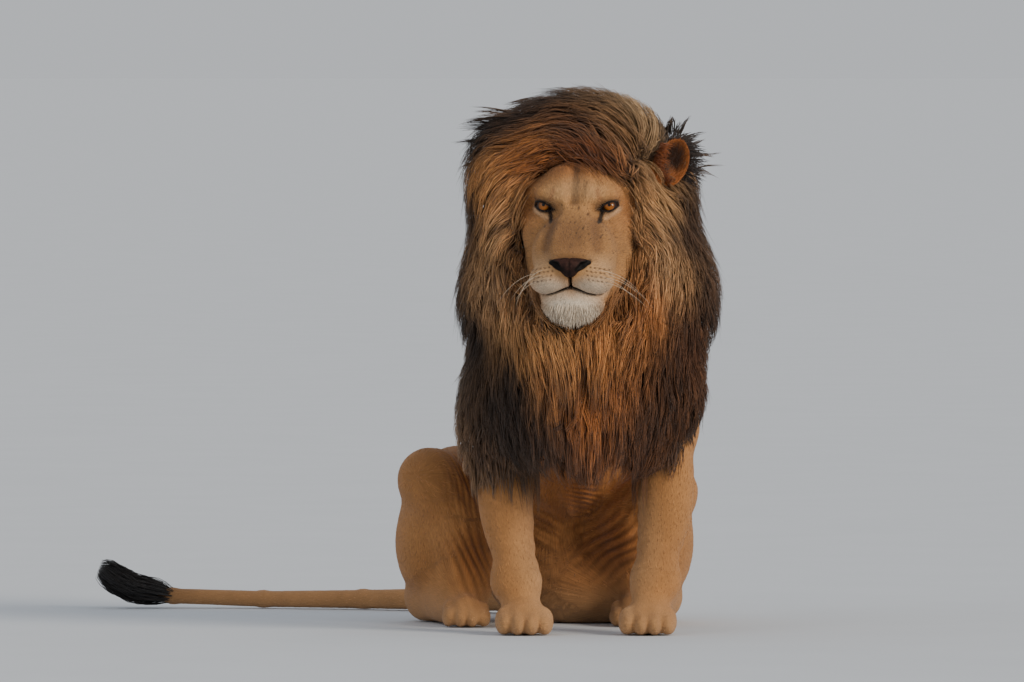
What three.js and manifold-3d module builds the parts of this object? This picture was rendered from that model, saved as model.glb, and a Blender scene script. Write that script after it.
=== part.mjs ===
// A life-size male lion, sitting upright with its forelegs straight and its tail laid out to its right.
// Millimetres, +Z up. The lion faces -Y, and its left side is +X. The body is described by distance
// fields, negative inside. Rays cast from a spine to the field's surface give the rings of each solid.
import * as THREE from "three";
import { mergeVertices } from "three/addons/utils/BufferGeometryUtils.js";
import Module from "manifold-3d";

const wasm = await Module();
wasm.setup();

// ---------------------------------------------------------------- driving dimensions
const GAP = 0.4; // clearance between nodes that touch
const FLARE = 24; // how far past its own muscles a leg's node runs into the trunk
const EYE_MID = [-21, -150, 899]; // halfway between the eyes
const HEAD_YAW = -6; // degrees: the face turns a little to the lion's right
const EYE_RADIUS = 20;
const EYE_PLACE = [68, 12, 0]; // the left eyeball's middle, from EYE_MID
const NOSE_WIDTH = 88;
const CORE_SHARE = 0.48; // how far from the skin to the tips the solid core under the mane's locks reaches
const LOCK_SPACING = { head: 72, neck: 82, chest: 94 }; // between neighbouring roots
const LOCK_LENGTH = 215;
const LOCK_WIDTH = 84;
const LOCK_HEIGHT = 20;

// ---------------------------------------------------------------- distance fields
const vec = (p) => new THREE.Vector3(p[0], p[1], p[2]);
const turned = (degrees) => new THREE.Euler(...degrees.map(THREE.MathUtils.degToRad));
const local = new THREE.Vector3();

// An ellipsoid, turned by degrees about X, Y and Z.
function mass(centre, radii, turn = [0, 0, 0]) {
  const [cx, cy, cz] = centre;
  const [rx, ry, rz] = radii;
  const back = turn.some(Boolean) ? new THREE.Quaternion().setFromEuler(turned(turn)).invert() : null;
  return (p) => {
    local.set(p.x - cx, p.y - cy, p.z - cz);
    if (back) local.applyQuaternion(back);
    const { x, y, z } = local;
    const k0 = Math.hypot(x / rx, y / ry, z / rz);
    const k1 = Math.hypot(x / rx ** 2, y / ry ** 2, z / rz ** 2);
    return k1 < 1e-9 ? -Math.min(rx, ry, rz) : (k0 * (k0 - 1)) / k1;
  };
}

// A rod with round ends whose radius runs from ra to rb.
function rod(a, ra, b, rb) {
  const [ax, ay, az] = a;
  const d = [b[0] - ax, b[1] - ay, b[2] - az];
  const squared = d[0] ** 2 + d[1] ** 2 + d[2] ** 2;
  return (p) => {
    const [x, y, z] = [p.x - ax, p.y - ay, p.z - az];
    const t = Math.min(1, Math.max(0, (x * d[0] + y * d[1] + z * d[2]) / squared));
    return Math.hypot(x - t * d[0], y - t * d[1], z - t * d[2]) - (ra + t * (rb - ra));
  };
}

function smoothMin(a, b, k) {
  const h = Math.max(k - Math.abs(a - b), 0) / k;
  return Math.min(a, b) - (h * h * k) / 4;
}
const blend = (k, ...fields) => (p) => {
  let least = fields[0](p);
  for (let i = 1; i < fields.length; i += 1) least = smoothMin(least, fields[i](p), k);
  return least;
};
const carve = (k, field, tool) => (p) => -smoothMin(-field(p), tool(p), k);
const within = (field, region, margin) => (p) => Math.max(field(p), region(p) - margin);
const bothSides = (make) => [make(1), make(-1)];

// ---------------------------------------------------------------- head, from EYE_MID
const headFrame = new THREE.Matrix4().makeRotationZ(THREE.MathUtils.degToRad(HEAD_YAW));
headFrame.setPosition(...EYE_MID);
const headInverse = headFrame.clone().invert();
const headPoint = new THREE.Vector3();
const inHead = (field) => (p) => field(headPoint.copy(p).applyMatrix4(headInverse));
const fromHead = (p) => vec(p).applyMatrix4(headFrame).toArray();

const skull = inHead(
  blend(
    34,
    mass([0, 122, 18], [102, 128, 92]), // braincase
    mass([0, 48, 34], [80, 70, 64]), // forehead
    ...bothSides((s) => mass([s * 76, 78, -50], [50, 84, 74])), // cheeks
    ...bothSides((s) => mass([s * 52, 12, 27], [34, 24, 17])), // brows
    ...bothSides((s) => rod([s * 18, 8, -8], 33, [s * 18, -108, -113], 29)), // bridge of the nose
    ...bothSides((s) => mass([s * 46, -38, -100], [44, 68, 60], [-25, 0, 0])), // upper jaw
  ),
);
const muzzle = inHead(
  blend(
    18,
    mass([0, -72, -134], [74, 72, 46]),
    ...bothSides((s) => mass([s * 45, -96, -147], [47, 50, 37], [0, s * 10, s * -14])), // whisker pads
  ),
);
const jaw = inHead(
  blend(
    24,
    mass([0, -86, -200], [60, 42, 44]), // chin
    mass([0, -5, -158], [66, 105, 50]), // floor of the mouth
    ...bothSides((s) => rod([s * 34, -70, -190], 34, [s * 74, 84, -120], 46)),
  ),
);
const upperHead = blend(18, skull, muzzle);
const head = blend(18, upperHead, jaw);

// ---------------------------------------------------------------- trunk and neck
const TRUNK_LINE = [
  [0, 20, 690],
  [0, 90, 625],
  [-22, 235, 520],
  [-55, 410, 380],
  [-86, 565, 235],
  [-98, 680, 110],
];
const trunk = blend(
  80,
  mass([0, 48, 630], [140, 150, 185]), // chest
  mass([-22, 225, 545], [158, 185, 190], [-30, 0, 0]), // ribs
  mass([-52, 400, 400], [148, 180, 165], [-40, 0, 0]), // loins and belly
  mass([-85, 565, 250], [150, 170, 160], [-45, 0, 0]), // pelvis
  mass([-95, 650, 108], [122, 112, 115]), // rump
);
const NECK_LINE = [
  [0, 120, 690],
  [-6, 50, 790],
  [-14, -15, 885],
];
const neck = blend(
  60,
  rod(NECK_LINE[0], 140, NECK_LINE[2], 108),
  mass([0, 120, 790], [85, 130, 95]), // nape
);

// ---------------------------------------------------------------- forelegs: s is 1 left, -1 right
const FORE = {
  shoulder: [150, -5, 640],
  elbow: [178, 88, 425],
  wrist: [147, 10, 118],
  knuckles: [131, -34, 46],
};
const sideOf = (s, [x, y, z]) => [s * x, y, z];
function foreleg(s) {
  const [shoulder, elbow, wrist, knuckles] = Object.values(FORE).map((p) => sideOf(s, p));
  return blend(
    26,
    mass([s * 138, 55, 650], [62, 105, 150]), // shoulder blade
    mass([s * 172, 78, 490], [68, 90, 125], [10, 0, 0]), // upper arm
    rod(shoulder, 58, elbow, 60),
    rod(elbow, 58, wrist, 48),
    mass([s * 172, 38, 310], [60, 60, 145]), // forearm
    mass([s * 147, 6, 112], [53, 47, 46]), // wrist
    rod(wrist, 43, knuckles, 40),
  );
}

// ---------------------------------------------------------------- hind legs, folded beside the belly
const HIND = {
  left: {
    inner: (p) => -50 - p.x, // a thigh stops short of the pelvis's middle
    hip: [5, 600, 240],
    thigh: [108, 460, 205],
    knee: [172, 305, 285],
    calf: [176, 425, 165],
    hock: [160, 535, 60],
    toes: [104, 290, 36],
  },
  right: {
    inner: (p) => p.x + 135,
    hip: [-195, 600, 250],
    thigh: [-275, 450, 225],
    knee: [-330, 300, 312],
    calf: [-350, 420, 170],
    hock: [-335, 520, 60],
    toes: [-252, 270, 36],
  },
};
function hindleg({ hip, knee, calf, hock, toes, thigh }) {
  const parts = {
    thigh: blend(26, mass(thigh, [92, 185, 150], [-4, 0, 0]), rod(hip, 112, knee, 64)),
    shank: blend(20, rod(knee, 58, hock, 42), mass(calf, [56, 100, 88], [-40, 0, 0])),
    hind_foot: rod([hock[0], hock[1], hock[2] - 16], 40, toes, 34),
  };
  return { parts, whole: blend(26, ...Object.values(parts)) };
}

// ---------------------------------------------------------------- tail
const TAIL_LINE = [
  [-100, 690, 92],
  [-112, 765, 60],
  [-165, 850, 37],
  [-290, 935, 27],
  [-480, 1020, 23],
  [-700, 1070, 21],
  [-900, 1085, 27],
  [-985, 1082, 44],
];
const TAIL_RADII = [52, 43, 33, 26, 22, 19, 18, 14];
const tail = blend(
  10,
  ...TAIL_LINE.slice(1).map((b, i) => rod(TAIL_LINE[i], TAIL_RADII[i], b, TAIL_RADII[i + 1])),
);
const tuft = mass([-950, 1084, 38], [85, 24, 22], [0, 16, 0]);

// ---------------------------------------------------------------- the whole body and its mane
const foreFields = { left: foreleg(1), right: foreleg(-1) };
const hindFields = { left: hindleg(HIND.left), right: hindleg(HIND.right) };
const legFields = [...Object.values(foreFields), hindFields.left.whole, hindFields.right.whole];
const body = blend(80, trunk, neck);
const flesh = blend(40, body, head, ...legFields, tail);

const EAR_PLACE = { left: [188, 130, 90], right: [-160, 142, 62] }; // the ears' middles, from EYE_MID
const openEar = [EAR_PLACE.left[0] + 16, EAR_PLACE.left[1] - 62, EAR_PLACE.left[2] + 6];
const faceOpening = inHead(blend(30, mass([0, -40, -62], [146, 140, 186]), mass(openEar, [54, 60, 66])));
const maneTips = carve(
  24,
  blend(
    60,
    mass([-8, 10, 925], [250, 190, 236]), // round the head
    mass([-178, 0, 1005], [66, 80, 78]), // the wind-blown side of the crown
    mass([5, 50, 720], [272, 235, 250]), // neck and shoulders
    mass([0, -10, 480], [232, 172, 175]), // breast
    mass([0, 190, 830], [180, 170, 160]), // nape
    mass([-8, -110, 600], [170, 135, 190]), // throat
  ),
  faceOpening,
);
// A surface in the mane, a share of the way from the skin to the tips. Off the mane it lies in the flesh.
const maneLayer = (share) => (p) => {
  const skin = flesh(p);
  return skin + share * (maneTips(p) - skin);
};
const maneCore = maneLayer(CORE_SHARE);
const coated = (p) => Math.min(flesh(p), maneCore(p));

// ---------------------------------------------------------------- rings of rays round a spine
const RAY_STEP = 6;
const RAY_HALVINGS = 10;
const rayPoint = new THREE.Vector3();

// How far a ray runs before it leaves the field.
function rayLength(field, from, direction, reach) {
  const outsideAt = (r) => field(rayPoint.copy(direction).multiplyScalar(r).add(from)) > 0;
  let inside = 0;
  let outside = RAY_STEP;
  while (outside < reach && !outsideAt(outside)) {
    inside = outside;
    outside += RAY_STEP;
  }
  if (outside >= reach) return reach;
  for (let i = 0; i < RAY_HALVINGS; i += 1) {
    const middle = (inside + outside) / 2;
    if (outsideAt(middle)) outside = middle;
    else inside = middle;
  }
  return (inside + outside) / 2;
}

// Joins rows of points into a closed surface with one point at each end.
function skinRows(rows, start, end) {
  const sides = rows[0].length;
  const positions = [start, ...rows.flat(), end].flatMap((p) => [p.x, p.y, p.z]);
  const at = (i, j) => 1 + i * sides + (j % sides);
  const last = 1 + rows.length * sides;
  const index = [];
  for (let j = 0; j < sides; j += 1) {
    index.push(0, at(0, j), at(0, j + 1));
    index.push(last, at(rows.length - 1, j + 1), at(rows.length - 1, j));
  }
  for (let i = 0; i + 1 < rows.length; i += 1)
    for (let j = 0; j < sides; j += 1) {
      index.push(at(i, j), at(i + 1, j), at(i + 1, j + 1));
      index.push(at(i, j), at(i + 1, j + 1), at(i, j + 1));
    }
  const geometry = new THREE.BufferGeometry();
  geometry.setAttribute("position", new THREE.Float32BufferAttribute(positions, 3));
  geometry.setIndex(index);
  return geometry;
}

// A closed form of rings of rays along a line, between two shares of its length. Each end is flat, or
// round where a number of tilted rings is given.
function loft(field, line, shape) {
  const { from = 0, to = 1, rings, sides, reach = 400, roundStart = 0, roundEnd = 0 } = shape;
  const { up = [0, 0, 1] } = shape;
  const curve = new THREE.CatmullRomCurve3(line.map(vec), false, "centripetal");
  const ring = (t, tilt) => {
    const centre = curve.getPointAt(t);
    const along = curve.getTangentAt(t);
    const side = new THREE.Vector3().crossVectors(along, vec(up)).normalize();
    const over = new THREE.Vector3().crossVectors(side, along);
    return Array.from({ length: sides }, (_, j) => {
      const angle = (2 * Math.PI * j) / sides;
      const ray = side.clone().multiplyScalar(Math.cos(angle) * Math.cos(tilt));
      ray.addScaledVector(over, Math.sin(angle) * Math.cos(tilt));
      ray.addScaledVector(along, Math.sin(tilt));
      return centre.clone().addScaledVector(ray, rayLength(field, centre, ray, reach));
    });
  };
  const endPoint = (t, round, sign) => {
    const centre = curve.getPointAt(t);
    if (!round) return centre;
    const ray = curve.getTangentAt(t).multiplyScalar(sign);
    return centre.addScaledVector(ray, rayLength(field, centre, ray, reach));
  };
  const rows = [];
  const tiltOf = (i, count) => (Math.PI / 2) * (i / (count + 1));
  for (let i = roundStart; i > 0; i -= 1) rows.push(ring(from, -tiltOf(i, roundStart)));
  for (let i = 0; i <= rings; i += 1) rows.push(ring(from + ((to - from) * i) / rings, 0));
  for (let i = 1; i <= roundEnd; i += 1) rows.push(ring(to, tiltOf(i, roundEnd)));
  return skinRows(rows, endPoint(from, roundStart, -1), endPoint(to, roundEnd, 1));
}

// ---------------------------------------------------------------- solids
const WELD = 1e-3; // corners closer than this are one
function solid(geometry) {
  const bare = geometry.clone();
  bare.deleteAttribute("normal");
  bare.deleteAttribute("uv");
  const merged = mergeVertices(bare, WELD);
  return new wasm.Manifold(
    new wasm.Mesh({
      numProp: 3,
      vertProperties: new Float32Array(merged.attributes.position.array),
      triVerts: new Uint32Array(merged.index.array),
    }),
  );
}

function geometryOf(made) {
  const mesh = made.getMesh();
  const positions = new Float32Array(mesh.numVert * 3);
  for (let i = 0; i < mesh.numVert; i += 1)
    positions.set(mesh.vertProperties.subarray(i * mesh.numProp, i * mesh.numProp + 3), 3 * i);
  const geometry = new THREE.BufferGeometry();
  geometry.setAttribute("position", new THREE.BufferAttribute(positions, 3));
  geometry.setIndex(Array.from(mesh.triVerts));
  geometry.computeVertexNormals();
  return geometry;
}

// The way out of a corner: the mean of its faces' normals, leaned over towards the face it leaves least.
const LEAST_COSINE = 0.4;
const LEANS = 40;
function wayOut(normals) {
  const out = normals.reduce((sum, n) => sum.add(n), new THREE.Vector3()).normalize();
  const worst = () => normals.reduce((a, b) => (a.dot(out) < b.dot(out) ? a : b));
  for (let i = 0; i < LEANS && worst().dot(out) < LEAST_COSINE; i += 1)
    out.addScaledVector(worst(), 0.2).normalize();
  return out.multiplyScalar(1 / Math.max(LEAST_COSINE, worst().dot(out)));
}

// The same solid with every face moved out by at least the gap between nodes.
function grown(made) {
  const geometry = geometryOf(made);
  const corners = geometry.attributes.position;
  const index = geometry.index;
  const faces = Array.from({ length: corners.count }, () => []);
  const triangle = new THREE.Triangle();
  for (let i = 0; i < index.count; i += 3) {
    const abc = [index.getX(i), index.getX(i + 1), index.getX(i + 2)];
    triangle.setFromAttributeAndIndices(corners, ...abc);
    const normal = triangle.getNormal(new THREE.Vector3());
    if (normal.lengthSq() > 0.5) for (const corner of abc) faces[corner].push(normal);
  }
  const point = new THREE.Vector3();
  faces.forEach((normals, i) => {
    point.fromBufferAttribute(corners, i).addScaledVector(wayOut(normals), GAP);
    corners.setXYZ(i, point.x, point.y, point.z);
  });
  return made.add(solid(geometry));
}

const union = (solids) => solids.reduce((all, one) => all.add(one));
const cut = (made, ...tools) => tools.reduce((left, tool) => left.subtract(tool), made);
const largest = (made) => made.decompose().sort((a, b) => b.volume() - a.volume())[0];

// Everything behind a plane through a point: a big block whose top lies on it.
const BLOCK = 4000;
function behind(point, normal, shift = 0) {
  const towards = vec(normal).normalize();
  const geometry = new THREE.BoxGeometry(BLOCK, BLOCK, BLOCK).translate(0, 0, -BLOCK / 2);
  geometry.applyQuaternion(new THREE.Quaternion().setFromUnitVectors(new THREE.Vector3(0, 0, 1), towards));
  const at = vec(point).addScaledVector(towards, shift);
  return solid(geometry.translate(at.x, at.y, at.z));
}
const floor = behind([0, 0, 0], [0, 0, 1]);

function ball(centre, radii, turn = [0, 0, 0], detail = [16, 10]) {
  const geometry = new THREE.SphereGeometry(1, ...detail).rotateX(Math.PI / 2);
  geometry.scale(...radii);
  geometry.applyQuaternion(new THREE.Quaternion().setFromEuler(turned(turn)));
  return solid(geometry.translate(...centre));
}
const headBall = (centre, radii, turn, detail) =>
  ball(fromHead(centre), radii, [turn[0], turn[1], turn[2] + HEAD_YAW], detail);

// ---------------------------------------------------------------- sub-parts
const LOOKS = {
  coat: { color: 0xb07f4a, roughness: 0.85 },
  mane: { color: 0x5a3f2a, roughness: 0.9 },
  pale: { color: 0xcbb59a, roughness: 0.85 },
  dark: { color: 0x2a211c, roughness: 0.9 },
  nose: { color: 0x4a2a22, roughness: 0.55 },
  eye: { color: 0xa8641c, roughness: 0.1 },
};
const nodes = {};
const place = (name, made, look) => {
  const welded = solid(geometryOf(cut(made, floor)));
  nodes[name] = { made: largest(welded), look };
};
const clearOf = (name) => grown(nodes[name].made);
const SIDES = [
  ["left", 1],
  ["right", -1],
];
// A line of named lengths, each a loft of its own, with half a gap at each shared end.
function lengths(field, line, ends, shape) {
  const half = GAP / 2 / new THREE.CatmullRomCurve3(line.map(vec), false, "centripetal").getLength();
  const entries = Object.entries(ends);
  let start = 0;
  return entries.map(([name, { end, ...own }], i) => {
    const { roundStart, roundEnd, ...plain } = { ...shape, ...own };
    const span = { ...plain, from: start + (i ? half : 0), to: end - (i < entries.length - 1 ? half : 0) };
    if (i === 0) span.roundStart = roundStart;
    if (i === entries.length - 1) span.roundEnd = roundEnd;
    start = end;
    return [name, span];
  });
}

function toes([x, y], spread, [rx, ry, rz], detail = [6, 4]) {
  return [-1.5, -0.5, 0.5, 1.5].map((k) =>
    ball([x + k * spread, y + (Math.abs(k) > 1 ? 13 : 0), rz - 3], [rx, ry, rz], [0, 0, k * -7], detail),
  );
}

// Forelegs: the trunk is cut clear of every leg, so the legs come first.
const SHOULDER_TOP = 520;
const trunkCutters = [];
for (const [side, s] of SIDES) {
  const [, elbow, wrist, knuckles] = Object.values(FORE).map((p) => sideOf(s, p));
  const field = within(flesh, foreFields[side], FLARE);
  const line = [
    [s * 158, 35, SHOULDER_TOP],
    [elbow[0], elbow[1] - 22, elbow[2]],
    [s * 168, 40, 300],
    wrist,
    knuckles,
  ];
  const shape = { sides: 14, up: [0, 1, 0], roundEnd: 2 };
  const ends = {
    upper_foreleg: { end: 0.27, rings: 3 },
    forearm: { end: 0.86, rings: 7 },
    forepaw: { end: 1, rings: 2 },
  };
  const spans = Object.fromEntries(lengths(field, line, ends, shape));
  for (const name of ["upper_foreleg", "forearm"]) {
    place(`${name}_${side}`, solid(loft(field, line, spans[name])), LOOKS.coat);
    trunkCutters.push(clearOf(`${name}_${side}`));
  }
  const paw = union([
    solid(loft(field, line, spans.forepaw)),
    ball([s * 130, -42, 32], [64, 62, 36], [0, 0, 0], [12, 6]),
    ...toes([s * 129, -88], 29, [18, 34, 25]),
  ]);
  place(`forepaw_${side}`, cut(paw, clearOf(`forearm_${side}`)), LOOKS.coat);
}

// Hind legs: each part is cut clear of those above it.
const halfway = (a, b) => a.map((c, i) => (c + b[i]) / 2);
for (const [side, joints] of Object.entries(HIND)) {
  const { inner, hip, knee, hock, toes: toe } = joints;
  const lines = {
    thigh: [hip, knee],
    shank: [knee, halfway(knee, hock), hock],
    hind_foot: [[hock[0], hock[1], 40], [...halfway(hock, toe).slice(0, 2), 38], [toe[0], toe[1], 34]],
  };
  const above = [];
  for (const [name, line] of Object.entries(lines)) {
    const part = hindFields[side].parts[name];
    const field = within(within(flesh, part, name === "thigh" ? FLARE : 8), inner, 0);
    const shape =
      name === "thigh"
        ? { rings: 6, sides: 16, roundStart: 2, roundEnd: 3 }
        : { rings: 4, sides: 10, roundStart: 1, roundEnd: 2 };
    let made = solid(loft(field, line, shape));
    if (name === "hind_foot") made = union([made, ...toes([toe[0], toe[1] - 22], 25, [16, 32, 23])]);
    place(`${name}_${side}`, cut(made, ...above), LOOKS.coat);
    above.push(clearOf(`${name}_${side}`));
  }
  trunkCutters.push(...above);
}

// Tail: three lengths, and the tuft further down.
const tailShape = { sides: 8, roundStart: 2, roundEnd: 2 };
const tailEnds = {
  tail_root: { end: 0.17, rings: 4 },
  tail_middle: { end: 0.55, rings: 5 },
  tail_end: { end: 0.88, rings: 4 },
};
const tailField = within(flesh, tail, 6);
for (const [name, span] of lengths(tailField, TAIL_LINE, tailEnds, tailShape)) {
  place(name, solid(loft(tailField, TAIL_LINE, span)), LOOKS.coat);
  if (name !== "tail_end") trunkCutters.push(clearOf(name));
}

// ---------------------------------------------------------------- locks
// Which way the hair runs at places on the mane: a wind sweeps the crown to the lion's right.
const LIE = [
  [[90, -110, 1050], [-0.75, -0.1, 0.55]], // crown, left of the middle
  [[0, -80, 1130], [-1, 0, 0.05]],
  [[-110, -90, 1110], [-0.9, -0.1, -0.4]],
  [[-190, -80, 1050], [-0.95, 0, -0.1]], // over the right ear, blown outwards
  [[-240, -40, 980], [-0.3, 0.1, -0.9]],
  [[-60, -150, 1010], [-0.85, -0.1, -0.5]], // forelock
  [[150, -60, 1080], [-0.5, 0.4, 0.6]],
  [[230, -20, 1000], [0.25, 0.5, -0.8]], // behind the left ear
  [[0, 80, 1110], [-0.75, 0.55, -0.15]], // back of the crown
  [[0, 200, 960], [-0.35, 0.75, -0.6]], // nape
  [[0, 290, 800], [-0.1, 0.75, -0.65]],
  [[-250, 0, 900], [-0.1, 0.15, -1]], // right side
  [[250, 0, 900], [0.1, 0.15, -1]], // left side
  [[-150, -130, 860], [-0.75, -0.05, -0.65]], // right cheek
  [[140, -130, 860], [0.75, -0.05, -0.65]], // left cheek
  [[-150, -150, 740], [0.2, -0.2, -0.95]], // the ruff's sides
  [[150, -150, 740], [-0.2, -0.2, -0.95]],
  [[-90, -210, 640], [0.45, -0.1, -0.9]], // the ruff draws in to a point
  [[100, -210, 640], [-0.45, -0.1, -0.9]],
  [[0, -240, 640], [0, -0.25, -1]], // throat
  [[-240, 60, 640], [0.05, 0.3, -0.95]], // shoulders
  [[240, 60, 640], [-0.05, 0.3, -0.95]],
  [[-200, 60, 450], [0.15, 0.15, -1]],
  [[200, 60, 450], [-0.15, 0.15, -1]],
  [[0, -170, 450], [0, 0.1, -1]], // breast
];
const lieAt = (p) => {
  const sum = new THREE.Vector3();
  for (const [place, way] of LIE) {
    const weight = 1 / (400 + p.distanceToSquared(vec(place))) ** 2;
    sum.addScaledVector(vec(way), weight);
  }
  return sum.normalize();
};

function uphill(field, p) {
  const step = 2;
  const at = (x, y, z) => field(new THREE.Vector3(p.x + x, p.y + y, p.z + z));
  const slope = [[step, 0, 0], [0, step, 0], [0, 0, step]].map(([x, y, z]) => at(x, y, z) - at(-x, -y, -z));
  return vec(slope).normalize();
}

// Random draws that come out alike on every run.
function draws(seed) {
  let state = seed;
  return () => {
    state = (state * 1664525 + 1013904223) % 4294967296;
    return state / 4294967296;
  };
}

// A flat lock of triangular section that tapers to a tip, laid along a path of points.
const LOCK_ROOT = 24; // how deep a lock is sunk
const halfWidth = (width, t) => (width / 2) * (0.72 + 1.1 * t - 1.75 * t * t); // widest a third of the way
function lockAlong(path, ups, width, height) {
  const rows = [];
  const last = path.length - 1;
  for (let i = 0; i < last; i += 1) {
    const t = i / last;
    const along = path[Math.min(last, i + 1)].clone().sub(path[Math.max(0, i - 1)]).normalize();
    const side = new THREE.Vector3().crossVectors(along, ups[i]).normalize();
    const up = new THREE.Vector3().crossVectors(side, along);
    const half = halfWidth(width, t);
    const rise = height * (1 - 0.65 * t);
    rows.push([
      path[i].clone().addScaledVector(side, half),
      path[i].clone().addScaledVector(up, rise),
      path[i].clone().addScaledVector(side, -half),
    ]);
  }
  const base = rows[0][0].clone().add(rows[0][1]).add(rows[0][2]).divideScalar(3);
  return solid(skinRows(rows, base, path[last]));
}

// A lock from a root on the core, which climbs through the mane's layers to the tips as it follows the lie.
const LOCK_STEPS = 3;
const LOCK_CLIMB = 0.75; // below 1, a lock rises most near its root
const LEG_CLEARANCE = 16; // how far over the legs' skin a lock passes
function maneLock(root, random) {
  const thick = flesh(root) - maneTips(root);
  const length = LOCK_LENGTH * THREE.MathUtils.clamp(thick / 75, 0.5, 1) * (0.85 + 0.3 * random());
  const curl = (random() - 0.5) * 0.5;
  const up = uphill(coated, root);
  const path = [root.clone().addScaledVector(up, -LOCK_ROOT)];
  const ups = [up];
  const p = root.clone();
  for (let i = 1; i <= LOCK_STEPS; i += 1) {
    const t = i / LOCK_STEPS;
    const layer = maneLayer(CORE_SHARE + (1 - CORE_SHARE) * t ** LOCK_CLIMB);
    const surface = (q) => Math.min(layer(q), flesh(q) - LEG_CLEARANCE);
    const normal = uphill(surface, p);
    const way = lieAt(p);
    way.addScaledVector(normal, -way.dot(normal)).normalize();
    way.applyAxisAngle(normal, curl * Math.sin(Math.PI * t));
    p.addScaledVector(way, length / LOCK_STEPS);
    const off = surface(p);
    const most = (0.5 * length) / LOCK_STEPS;
    p.addScaledVector(uphill(surface, p), -THREE.MathUtils.clamp(off, -most, most));
    path.push(p.clone());
    ups.push(normal);
  }
  return lockAlong(path, ups, LOCK_WIDTH * (0.85 + 0.3 * random()), LOCK_HEIGHT);
}

const LEAST_THICKNESS = 10; // of the mane at a root, from the core's skin to the tips
// Roots on a node's core, seen from a middle point, where the mane is thick enough. Each next root is the
// place farthest from those before it, until none is left that is far enough apart.
const ROOT_RAYS = 1500;
const MANE_REACH = 420;
function maneRoots(middle, apart, inNode) {
  const from = vec(middle);
  const places = [];
  for (let i = 0; i < ROOT_RAYS; i += 1) {
    const z = 1 - (2 * i + 1) / ROOT_RAYS;
    const turn = i * Math.PI * (3 - Math.sqrt(5));
    const across = Math.sqrt(1 - z * z);
    const ray = new THREE.Vector3(across * Math.cos(turn), across * Math.sin(turn), z);
    const place = from.clone().addScaledVector(ray, rayLength(coated, from, ray, MANE_REACH));
    const thick = flesh(place) - maneTips(place) > LEAST_THICKNESS;
    if (thick && inNode(place)) places.push({ place, room: Infinity });
  }
  const roots = [];
  let next = places[0];
  while (next && next.room > apart) {
    roots.push(next.place);
    for (const one of places) one.room = Math.min(one.room, one.place.distanceTo(next.place));
    next = places.reduce((best, one) => (one.room > best.room ? one : best));
  }
  return roots;
}

// The tuft: a thin core on the tail's end, with locks that spread from it and run on past its tip.
const TUFT_LINE = TAIL_LINE.slice(-2).concat([[-1030, 1078, 66]]);
const TUFT_LOCKS = 6;
const TUFT_LOCK_WIDTH = 44;
const TUFT_LOCK_HEIGHT = 15;
const TUFT_SPREAD = 22; // how far the locks bow out
const TUFT_TIP = [-1062, 1070, 90];
const tuftCurve = new THREE.CatmullRomCurve3([...TUFT_LINE, TUFT_TIP].map(vec), false, "centripetal");
const tuftSpan = { from: 0.02, rings: 4, sides: 8, roundStart: 1, roundEnd: 1 };
const tuftRandom = draws(3);
function tuftLock(i) {
  const start = 0.06 + 0.36 * (i / TUFT_LOCKS);
  const angle = i * 2.4;
  const path = [];
  const ups = [];
  for (let k = 0; k <= LOCK_STEPS; k += 1) {
    const t = k / LOCK_STEPS;
    const at = Math.min(1, start + 0.62 * t);
    const along = tuftCurve.getTangentAt(at);
    const side = new THREE.Vector3().crossVectors(along, new THREE.Vector3(0, 0, 1)).normalize();
    const over = new THREE.Vector3().crossVectors(side, along);
    const out = side.multiplyScalar(Math.cos(angle)).addScaledVector(over, Math.sin(angle));
    const bow = Math.sin(Math.PI * Math.min(1, 0.15 + 0.75 * t));
    const away = 10 + TUFT_SPREAD * bow * (0.8 + 0.4 * tuftRandom());
    path.push(tuftCurve.getPointAt(at).addScaledVector(out, away));
    ups.push(out.clone());
  }
  return lockAlong(path, ups, TUFT_LOCK_WIDTH, TUFT_LOCK_HEIGHT);
}
const tuftCore = solid(loft(blend(10, tuft, tail), TUFT_LINE, tuftSpan));
const tuftLocks = Array.from({ length: TUFT_LOCKS }, (_, i) => tuftLock(i));
place("tail_tuft", cut(union([tuftCore, ...tuftLocks]), clearOf("tail_end")), LOOKS.dark);

// Head, neck and trunk meet at two sloping planes.
const HEAD_PLANE = { point: [0, -60, 735], normal: [0, -0.628, 0.777] };
const CHEST_PLANE = { point: [0, -110, 600], normal: [0, -0.59, 0.807] };
const below = ({ point, normal }) => behind(point, normal, GAP / 2);
const above = ({ point, normal }) => behind(point, normal.map((c) => -c), GAP / 2);
const heightOver = ({ point, normal }, p) => p.clone().sub(vec(point)).dot(vec(normal));

const headLine = [[0, 125, 5], [0, 40, -30], [0, -70, -118]].map(fromHead);
const maneLine = [[0, 160, -20], [0, 8, -10]].map(fromHead);
const faceShape = { rings: 14, sides: 30, roundStart: 4, roundEnd: 6 };
const capShape = { rings: 4, sides: 18, roundStart: 4, roundEnd: 1, reach: 330 };
const headCore = union([
  solid(loft(upperHead, headLine, faceShape)),
  solid(loft(maneCore, maneLine, capShape)),
]);
const headClear = grown(headCore);

const eyeAt = (s) => [s * EYE_PLACE[0], EYE_PLACE[1], EYE_PLACE[2]];
const EYE_DETAIL = [10, 8];
const sockets = [];
for (const [side, s] of SIDES) {
  place(`eye_${side}`, headBall(eyeAt(s), Array(3).fill(EYE_RADIUS), [0, 0, 0], EYE_DETAIL), LOOKS.eye);
  sockets.push(clearOf(`eye_${side}`));
}

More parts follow.
